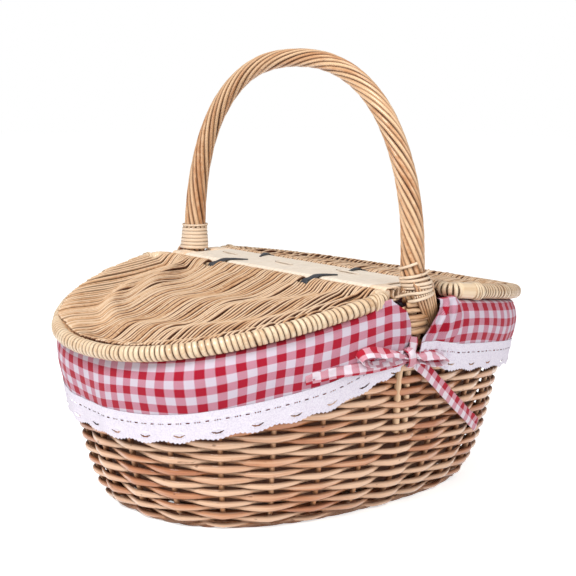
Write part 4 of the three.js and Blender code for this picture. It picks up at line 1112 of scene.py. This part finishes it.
def gingham(name, red, pink, white, back_side_shade=None):
    """Gingham cotton. Its back side, seen through the wall's gaps, can be given a dark brown instead: painted
    shade, warmed as if lit by the willow beside it.
    """
    material, tree, shader = material_of(name)
    cotton = tree.nodes.new("ShaderNodeGroup")
    cotton.node_tree = gingham_check
    for label, colour in (("Red", red), ("Pink", pink), ("White", white)):
        give(tree, cotton.inputs[label], colour)
    colour = cotton.outputs["Color"]
    # Painted shade on the cloth's back side.
    if back_side_shade:
        side = tree.nodes.new("ShaderNodeNewGeometry")
        colour = dyed(tree, side.outputs["Backfacing"], back_side_shade, colour)
    tree.links.new(colour, shader.inputs["Base Color"])
    raised(tree, shader, cotton.outputs["Height"], 0.25, 0.1 * MM)
    shader.inputs["Roughness"].default_value = 0.9
    shader.inputs["Sheen Weight"].default_value = 0.15
    shader.inputs["Specular IOR Level"].default_value = 0.2
    return material


# The liner's colours are the cotton's colours made darker than in the bow's ties of the same cotton. The darkening
# is painted shade for the flaps' folds.
gingham_cotton = gingham("gingham_cotton", (0.40, 0.006, 0.026), (0.56, 0.23, 0.31), (0.66, 0.58, 0.67),
                         back_side_shade=(0.23, 0.11, 0.07))


def cloth(name, points, uv, material, keep=None):
    """A grid of cloth. points and uv are rows by columns, and keep leaves holes in it."""
    rows, columns = points.shape[:2]
    i, j = np.meshgrid(np.arange(rows - 1), np.arange(columns - 1), indexing="ij")
    low = i * columns + j
    quads = np.stack([low, low + 1, low + columns + 1, low + columns], -1).reshape(-1, 4)
    if keep is not None:
        quads = quads[keep.reshape(-1)]
    used = np.unique(quads)
    renumber = np.zeros(rows * columns, int)
    renumber[used] = np.arange(len(used))
    return add_piece(name, points.reshape(-1, 3)[used], renumber[quads].tolist(),
                     uv.reshape(-1, 2)[quads.reshape(-1)], material)


def fallen(points):
    """How far down the cloth each point of a grid is, along its columns."""
    return np.cumsum(np.linalg.norm(np.diff(points, axis=0, prepend=points[:1]), axis=-1), axis=0)


liner_in = -7.4 * MM
liner_out = 7.6 * MM
liner_floor = 14.6 * MM
fold_start = 12 * MM
hem_drop = {"front": 38 * MM, "back": 31 * MM}
behind_lace = 6.5 * MM
fold_over = border_radius + 0.6 * MM
slack = 1.03
ripple_depth = 1.6 * MM
wave_depth = 2.4 * MM
crease_depth = 2.2 * MM
belly_depth = 2.6 * MM
in_rows, over_rows, out_rows = 5, 9, 36
floor_turns = np.linspace(0, 2 * np.pi, 241)
floor_edge = wall_point(floor_turns, liner_floor, liner_in - 8 * MM)
floor_points = floor_edge[None] * np.linspace(0, 1, 30)[:, None, None]
floor_points[..., 2] = liner_floor + 0.8 * MM + 0.5 * MM * np.sin(floor_points[..., 0] * 90) * np.cos(
    floor_points[..., 1] * 110)
floor_cloth = cloth("liner_floor", floor_points, floor_points[..., :2], gingham_cotton)
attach(floor_cloth, "basket")

columns = 640
rng = random.Random(30)
shares = np.linspace(0, 1, columns)
turns = turn_at(shares)
rim_levels = rim_z(turns)
tuck = smooth_noise(rng, columns, 46) * 1.4 * MM
wall_rows = []
for part in np.linspace(0, 1, 36):
    z = liner_floor + (rim_levels - fold_start - liner_floor) * part
    bulge = np.sin(np.pi * part) * 0.5 + 0.15
    corner = 8 * MM * max(0, 1 - part / 0.05) ** 2
    wall_rows.append(wall_point(turns, z, liner_in - corner - (tuck + 1.4 * MM) * bulge))
wall_points = np.array(wall_rows)
fall = fallen(wall_points)
bag = cloth("liner_bag", wall_points, np.stack([shares * girth + 0 * fall, fall - fall[-1]], -1), gingham_cotton)
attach(bag, "basket")
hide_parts("liner")

slit_edges = {"pulled": ((134, 142, 154, 164.5, 169.8, 174), (12.4, 12.8, 15, 19.8, 27.9, 34)),
              "rolled": ((139.7, 147, 154.4, 163.1, 171.3), (-4.8, -0.7, 3.3, 9.4, 12.3))}
edge_lift = {"pulled": 11 * MM, "rolled": 7 * MM}


def edge_share(kind, z):
    """How far a flap's free edge lies from the foot at a height, as a share of the way round."""
    heights, places = slit_edges[kind]
    return np.interp(z / MM, heights, places) * MM * mould_size(flare_height / 3)[0] / mould_size(z)[0] / girth


hems = {}
above_hems = {}
for name, lid in lids.items():
    rng = random.Random(31 if name == "front" else 32)
    columns = 420
    across = np.linspace(0, 1, columns)
    ripple = smooth_noise(rng, columns, 34, False)
    broad = smooth_noise(rng, columns, 13, False)
    bunch = np.exp(-(np.minimum(across, 1 - across) / 0.05) ** 2)
    crease = smooth_noise(rng, columns, 120, False) * bunch
    waves = (0.5 + 0.5 * ripple) * ripple_depth + (0.5 + 0.5 * broad) * wave_depth + crease * crease_depth
    cut_length = hem_drop[name] + behind_lace
    hem_part = hem_drop[name] / cut_length
    foot_level = float(rim_z(turn_at(0.5)))
    start = 0.0 if lid["sign"] < 0 else 0.5
    rows, shares_at, drops = [], [], []
    for kind, part in ([("in", p) for p in np.linspace(0, 1, in_rows)]
                       + [("over", p) for p in np.linspace(0.1, 0.9, over_rows)]
                       + [("out", p) for p in np.linspace(0, 1, out_rows)]):
        down = min(part / hem_part, 1) if kind == "out" else 0
        fallen_by = cut_length * part if kind == "out" else 0
        first, last = (edge_share(edge, foot_level + edge_lift[edge] * (1 - down) ** 1.5 - fallen_by)
                       for edge in ("rolled", "pulled"))
        share = start + first + (0.5 - last - first) * across
        turns = turn_at(share)
        levels = rim_z(turns)
        from_rolled = (share - start) * girth
        from_pulled = (start + 0.5 - share) * girth
        lift = (edge_lift["rolled"] * ease((40 * MM - from_rolled) / (12 * MM))
                + (edge_lift["pulled"] - 3 * MM) * ease((50 * MM - from_pulled) / (13 * MM))
                + 3 * MM * ease((100 * MM - from_pulled) / (55 * MM)))
        fold_line = (24 + 9 * math.sin(math.pi * min(0.9 * down + 0.1, 1))) * MM
        roll = 3.6 * MM * (1 - ease((from_rolled - fold_line) / (2.6 * MM))) * (1 - 0.4 * down)
        if kind == "in":
            z = levels - fold_start * (1 - part)
            offset = liner_in + 0 * share
        elif kind == "over":
            outer = (1 - np.cos(np.pi * part)) / 2
            z = levels + fold_over * np.sin(np.pi * part) + lift * outer ** 1.6
            offset = liner_in + (liner_out - liner_in + roll) * outer
        else:
            pull = (9.5 * MM * ease((78 * MM - from_pulled) / (60 * MM))
                    + 6.5 * MM * ease((42 * MM - from_rolled) / (40 * MM)))
            z = levels + lift * (1 - down) ** 1.5 + pull * down ** 2 - cut_length * part
            belly = math.sin(math.pi * down ** 0.8) * belly_depth
            from_edge = (share - share[0]) * girth / MM
            ridges = sum(high * MM * np.exp(-((from_edge - at - slope * down) / wide) ** 2)
                         for high, at, slope, wide in ((1.7, 7, 5, 2.0), (-1.5, 3.4, 3, 1.4), (1.4, 15, 9, 2.4),
                                                       (-1.2, 11, 7, 1.8)))
            offset = liner_out + roll + belly + waves * down ** 0.8 + ridges * ease(down * 8)
            if part > hem_part:
                offset = offset - (part - hem_part) * cut_length * 0.12
        rows.append(wall_point(turns, z, offset))
        shares_at.append(share)
        drops.append((levels - z) * slack)
    points = np.array(rows)
    fall = fallen(points)
    drawn = np.array(drops)
    first_out = in_rows + over_rows
    drawn[:first_out] = drawn[first_out] - (fall[first_out] - fall[:first_out])
    uv = np.stack([np.array(shares_at) * girth, drawn - slack * cut_length], -1)
    loose = ease(drawn / (20 * MM))
    uv[..., 0] += 1.5 * MM * np.sin(uv[..., 0] / (19 * MM) + uv[..., 1] / (23 * MM)) * loose
    uv[..., 1] += 1.3 * MM * np.sin(uv[..., 0] / (14 * MM)) * loose
    flap = cloth(f"liner_flap_{name}", points, uv, gingham_cotton)
    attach(flap, "basket")
    hem_row = len(points) - 1 - round((out_rows - 1) * (1 - hem_part))
    hems[name] = points[hem_row]
    above_hems[name] = points[hem_row - 4]

# Lace. A white cotton trim is sewn under the hem of each flap. It has a band of net, a row of
# eyelets and dots, a curved slit in each scallop, and small picots along its edge.
lace_width = 21.5 * MM
lace_step = 0.5 * MM
scallop = 29 * MM
picots = 8
eyelet_row = 5.6 * MM
lace_white, tree, shader = material_of("lace")
net = tree.nodes.new("ShaderNodeTexVoronoi")
net.inputs["Scale"].default_value = 1150
tree.links.new(tree.nodes.new("ShaderNodeUVMap").outputs[0], net.inputs["Vector"])
thread = dyed(tree, net.outputs[0], (0.96, 0.92, 0.99), (0.74, 0.68, 0.80))
tree.links.new(thread, shader.inputs["Base Color"])
raised(tree, shader, net.outputs[0], 0.5, 0.25 * MM)
shader.inputs["Roughness"].default_value = 0.85
shader.inputs["Specular IOR Level"].default_value = 0.2


def oval_reach(x, y, middle_x, middle_y, half_x, half_y):
    """1 on the edge of an oval, and less inside it."""
    return np.sqrt(((x - middle_x) / half_x) ** 2 + ((y - middle_y) / half_y) ** 2)


for name in lids:
    hem = hems[name]
    steps = walked(hem)
    total = steps[-1]
    period = total / round(total / scallop)
    u = np.linspace(0, total, int(total / lace_step))
    v = np.linspace(-1.5 * MM, lace_width + 1 * MM, int((lace_width + 2 * MM) / lace_step))
    edge = points_at(hem, steps, u)
    down = unit(edge - points_at(above_hems[name], steps, u))
    down[:, :2] *= 0.6
    down = unit(down)
    outward = unit(edge * np.array([1, 1, 0]))
    sway = 0.4 * MM * np.sin(2 * np.pi * u / period)
    points = edge[None] + down[None] * v[:, None, None]
    points += outward[None] * (0.7 * MM + sway[None, :] * np.clip(v, 0, 1)[:, None] / lace_width)[..., None]
    part, y = np.broadcast_arrays(u[None] % period / period, v[:, None])
    x = (part - 0.5) * period
    bottom = lace_width - 2.2 * MM * np.cos(np.pi * part) ** 2
    bottom = bottom - 0.7 * MM * (0.5 - 0.5 * np.cos(2 * np.pi * picots * u[None] / period))
    solid = (y < bottom) & (y < lace_width * (0.5 + 0.5 * np.clip((total - u[None]) / (26 * MM), 0, 1)))
    slit_x = x / (4.8 * MM)
    holes = slit_x ** 2 + ((y - 16 * MM + 1.7 * MM * slit_x ** 2) / (0.7 * MM)) ** 2 < 1
    for places, half_x, half_y in (((-0.25, 0.25), 1.6 * MM, 0.65 * MM),
                                   ((-0.5, -0.44, -0.06, 0.0, 0.06, 0.44, 0.5), 0.55 * MM, 0.55 * MM)):
        for place in places:
            holes |= oval_reach(x, y, place * period, eyelet_row, half_x, half_y) < 1
    keep = (solid & ~holes)[:-1, :-1]
    stitched = np.zeros_like(y)
    for place, middle_y, half_x, half_y in ((0, 15.2, 4.4, 1.9), (-0.25, 5.6, 3.1, 1.55), (0.25, 5.6, 3.1, 1.55)):
        away = oval_reach(x, y, place * period, middle_y * MM, half_x * MM, half_y * MM)
        stitched = np.maximum(stitched, np.exp(-((away - 1) / 0.22) ** 2))
    points = points + outward[None] * (0.35 * MM * stitched)[..., None]
    lace = cloth(f"lace_{name}_trim", points, np.stack([u[None] + 0 * y, y], -1), lace_white, keep)
    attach(lace, "basket")
    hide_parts(f"lace_{name}")

# Bows. The flaps end in narrow gingham ties, folded double and tied in a bow below each foot
# of the handle. One end hangs down the wall and the other follows the seam of the lace.
ribbon_cotton = gingham("ribbon_cotton", (0.44, 0.009, 0.03), (0.66, 0.30, 0.37), (0.82, 0.72, 0.79))
bow_height = 129 * MM
knot_shift = -16 * MM
bow_stand = 13 * MM
tie_width = 9.4 * MM
tie_half_thickness = 0.5 * MM
tie_sides = 24
loop_tilt = math.radians(36)
# Side, how far it runs out, how far it rises there, and how tall the loop opens.
bow_loops = ((-1, 50, 6, 7.4), (1, 40, -5.5, 5.4))
# Places as x and height, distance from the wall at both ends, width, wrinkle, and start in the check.
bow_tails = (
    (((-9, 126), (-2, 121.5), (9, 114.4), (28, 99.8), (52, 82.2), (75, 67), (97, 53.5)), 12, 8.6, 10.4, 0.5, 9.35),
    (((-16, 129), (-30, 127), (-51, 125.4), (-67, 125.4), (-84, 124.4), (-96, 122.6), (-105, 121.4)),
     12.5, 11.0, 8.6, 1.2, 7.3),
    (((-14, 131), (-12.5, 135), (-11, 139), (-10, 144)), 14, 9.5, 8.0, 1.1, 6),
)


def tie(path, across, width, rng, wrinkle, place):
    """A flat tube of cloth along a path. across is the way of its width, and place its start
    in the check."""
    path = np.asarray(path, float)
    steps = walked(path)
    count = max(12, int(steps[-1] / (1.2 * MM)))
    even = np.linspace(0, steps[-1], count)
    path = points_at(path, steps, even)
    across = points_at(np.broadcast_to(across, (len(steps), 3)), steps, even)
    width = np.interp(even, steps, np.broadcast_to(np.asarray(width, float), (len(steps),)))
    soften(path, 5)
    soften(across, 5)
    along = unit(np.gradient(path, axis=0))
    across = unit(across - along * np.sum(across * along, -1, keepdims=True))
    angle = 2 * np.pi * np.arange(tie_sides) / tie_sides
    lateral = np.cos(angle)
    face = tie_half_thickness * np.sign(np.sin(angle)) * np.abs(np.sin(angle)) ** 0.4
    crease = np.zeros((count, tie_sides))
    for k in range(4):
        wave = smooth_noise(rng, count, 3 + int(steps[-1] / (9 * MM)), False)
        crease += np.outer(wave, np.cos((k + 1) * np.pi * lateral / 2 + rng.uniform(0, 6))) / (k + 1)
    points = (path[:, None] + across[:, None] * (width[:, None, None] / 2 * lateral[None, :, None])
              + np.cross(along, across)[:, None] * (face + crease * wrinkle * MM)[..., None])
    v = place + width.mean() * lateral / 2
    return {"points": points, "u": even, "v": np.where(np.sin(angle) >= 0, v, v + 3 * MM),
            "length": float(steps[-1])}


def join_ties(name, ties, material):
    """One piece made of many ties, with their ends closed."""
    points, faces, uvs, start = [], [], [], 0
    for t in ties:
        rows, sides = t["points"].shape[:2]
        points.append(t["points"].reshape(-1, 3))
        i, j = np.meshgrid(np.arange(rows - 1), np.arange(sides), indexing="ij")
        beside = (j + 1) % sides
        corners = ((i, j), (i, beside), (i + 1, beside), (i + 1, j))
        faces.extend((np.stack([a * sides + b for a, b in corners], -1).reshape(-1, 4) + start).tolist())
        uvs.append(np.stack([np.stack([t["u"][a], t["v"][b]], -1) for a, b in corners], -2).reshape(-1, 2))
        for row, way in ((0, -1), (rows - 1, 1)):
            faces.append(list(range(start + row * sides, start + (row + 1) * sides))[::way])
            uvs.append(np.stack([np.full(sides, t["u"][row]), t["v"]], -1)[::way])
        start += rows * sides
    return add_piece(name, np.concatenate(points), faces, np.concatenate(uvs), material)


def outer_wall(x, z, sign, stand):
    """A point outside the wall on the handle's side, by its x and height."""
    a, b = (half + stand for half in mould_size(z))
    return np.array([x, sign * b * (1 - abs(x / a) ** oval_exponent) ** (1 / oval_exponent), z])


for name, sign in (("near", -1), ("far", 1)):
    rng = random.Random(40 if name == "near" else 41)
    outward = np.array([0, sign, 0.0])
    up = np.array([0, 0, 1.0])
    ties = []
    for side, run, rise, tall in bow_loops:
        opening = up * math.cos(loop_tilt) + outward * math.sin(loop_tilt)
        path, width = [], []
        for a in np.linspace(0.0, 2 * np.pi, 60):
            reach = (1 - np.cos(a)) / 2
            spot = outer_wall(-sign * (knot_shift + side * run * reach * MM), bow_height + rise * reach * MM, sign,
                              bow_stand)
            path.append(spot + opening * tall * MM * np.sin(a) * (0.3 + 0.7 * reach))
            width.append(tie_width * (0.6 + 0.55 * math.sin(math.pi * min(reach * 1.15, 1) / 2)))
        ties.append(tie(path, np.cross((1, 0, 0), opening), width, rng, 1.3, 2 * MM))
    for places, first_stand, last_stand, wide, wrinkle, place in bow_tails:
        places = np.array(places) * MM
        part = np.linspace(0, 1, 24)
        line = points_at(places, np.linspace(0, 1, len(places)), part)
        path = [outer_wall(-sign * x, z, sign, (first_stand + (last_stand - first_stand) * p) * MM)
                for (x, z), p in zip(line, part)]
        run = places[-1] - places[0]
        ties.append(tie(path, unit(np.array([sign * run[1], 0, run[0]])), wide * MM, rng, wrinkle, place * MM))
    knot_middle = outer_wall(-sign * knot_shift, bow_height, sign, bow_stand)
    knot = [knot_middle + up * 7.0 * MM * math.cos(a) + outward * 4.6 * MM * math.sin(a)
            + np.array([-sign * (1.2 * MM * math.sin(a * 2) - 2.2 * MM * math.cos(a)), 0, 0])
            for a in np.linspace(0, 2 * np.pi, 30)]
    ties.append(tie(knot, (1.0, 0, 0.12), 7.6 * MM, rng, 0.9, 6.3 * MM))
    bow = join_ties(f"bow_{name}_ties", ties, ribbon_cotton)
    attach(bow, "basket")
    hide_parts(f"bow_{name}")

# Stage. A white floor under plain soft light. It shows white to the camera and keeps the
# basket's shadow. The camera stands where the photograph was taken from.
floor_material, tree, paper = material_of("studio_floor")
paper.inputs["Base Color"].default_value = (0.9, 0.9, 0.9, 1)
paper.inputs["Roughness"].default_value = 0.9
glow = tree.nodes.new("ShaderNodeEmission")
glow.inputs["Strength"].default_value = 0.62
ray = tree.nodes.new("ShaderNodeLightPath")
seen = sum_of(tree, "MAXIMUM", ray.outputs["Is Camera Ray"], ray.outputs["Is Glossy Ray"])
shown = tree.nodes.new("ShaderNodeMixShader")
lit = tree.nodes.new("ShaderNodeAddShader")
for source, socket in ((paper.outputs[0], lit.inputs[0]), (glow.outputs[0], lit.inputs[1]),
                       (seen, shown.inputs[0]), (paper.outputs[0], shown.inputs[1]),
                       (lit.outputs[0], shown.inputs[2]),
                       (shown.outputs[0], tree.nodes["Material Output"].inputs["Surface"])):
    tree.links.new(source, socket)
floor_size = 6
floor_mesh = bpy.data.meshes.new("studio_floor")
floor_mesh.from_pydata([(x * floor_size, y * floor_size, 0) for x, y in ((-1, -1), (1, -1), (1, 1), (-1, 1))], [],
                       [(0, 1, 2, 3)])
floor_mesh.materials.append(floor_material)
add_object("studio_floor", floor_mesh)

world = bpy.data.worlds.new("studio")
bpy.context.scene.world = world
world.use_nodes = True
tree = world.node_tree
sky = tree.nodes["Background"]
sky.inputs["Color"].default_value = (1, 1, 1, 1)
sky.inputs["Strength"].default_value = 0.42
white = tree.nodes.new("ShaderNodeBackground")
white.inputs["Color"].default_value = (1, 1, 1, 1)
either = tree.nodes.new("ShaderNodeMixShader")
for source, socket in ((tree.nodes.new("ShaderNodeLightPath").outputs["Is Camera Ray"], either.inputs[0]),
                       (sky.outputs[0], either.inputs[1]), (white.outputs[0], either.inputs[2]),
                       (either.outputs[0], tree.nodes["World Output"].inputs["Surface"])):
    tree.links.new(source, socket)


def lamp(name, azimuth, elevation, distance, size, watts):
    """A soft square lamp that shines on the middle of the basket."""
    light = bpy.data.lights.new(name, "AREA")
    light.size = size
    light.energy = watts
    a, e = math.radians(azimuth), math.radians(elevation)
    away = Vector((math.sin(a) * math.cos(e), -math.cos(a) * math.cos(e), math.sin(e)))
    item = add_object(name, light)
    item.location = Vector((0, 0, 0.12)) + away * distance
    item.rotation_euler = away.to_track_quat("Z", "Y").to_euler()


lamp("key", azimuth=-78, elevation=48, distance=1.7, size=0.6, watts=21)
lamp("fill", azimuth=5, elevation=36, distance=1.9, size=1.2, watts=11)

azimuth, elevation, roll = math.radians(-41.25), math.radians(8.56), math.radians(0.91)
back = np.array([math.sin(azimuth) * math.cos(elevation), -math.cos(azimuth) * math.cos(elevation),
                 math.sin(elevation)])
right = np.array([math.cos(azimuth), math.sin(azimuth), 0.0])
up = np.cross(back, right)
right, up = right * math.cos(roll) + up * math.sin(roll), up * math.cos(roll) - right * math.sin(roll)
target = np.array([-4.68, -0.98, 165.48]) * MM
distance = 1128.08 * MM
focal_pixels, image_size, middle_x, middle_y = 1362.67, 576, 290.02, 283.5
sensor_width = 36
camera_data = bpy.data.cameras.new("camera")
camera_data.sensor_width = sensor_width
camera_data.lens = focal_pixels / image_size * sensor_width
camera_data.shift_x = (image_size / 2 - middle_x) / image_size
camera_data.shift_y = (middle_y - image_size / 2) / image_size
pose = np.eye(4)
pose[:3] = np.stack([right, up, back, target + back * distance], -1)
camera = add_object("camera", camera_data)
camera.matrix_world = Matrix(pose.tolist())
bpy.context.scene.camera = camera
bpy.context.scene.view_settings.view_transform = "Standard"
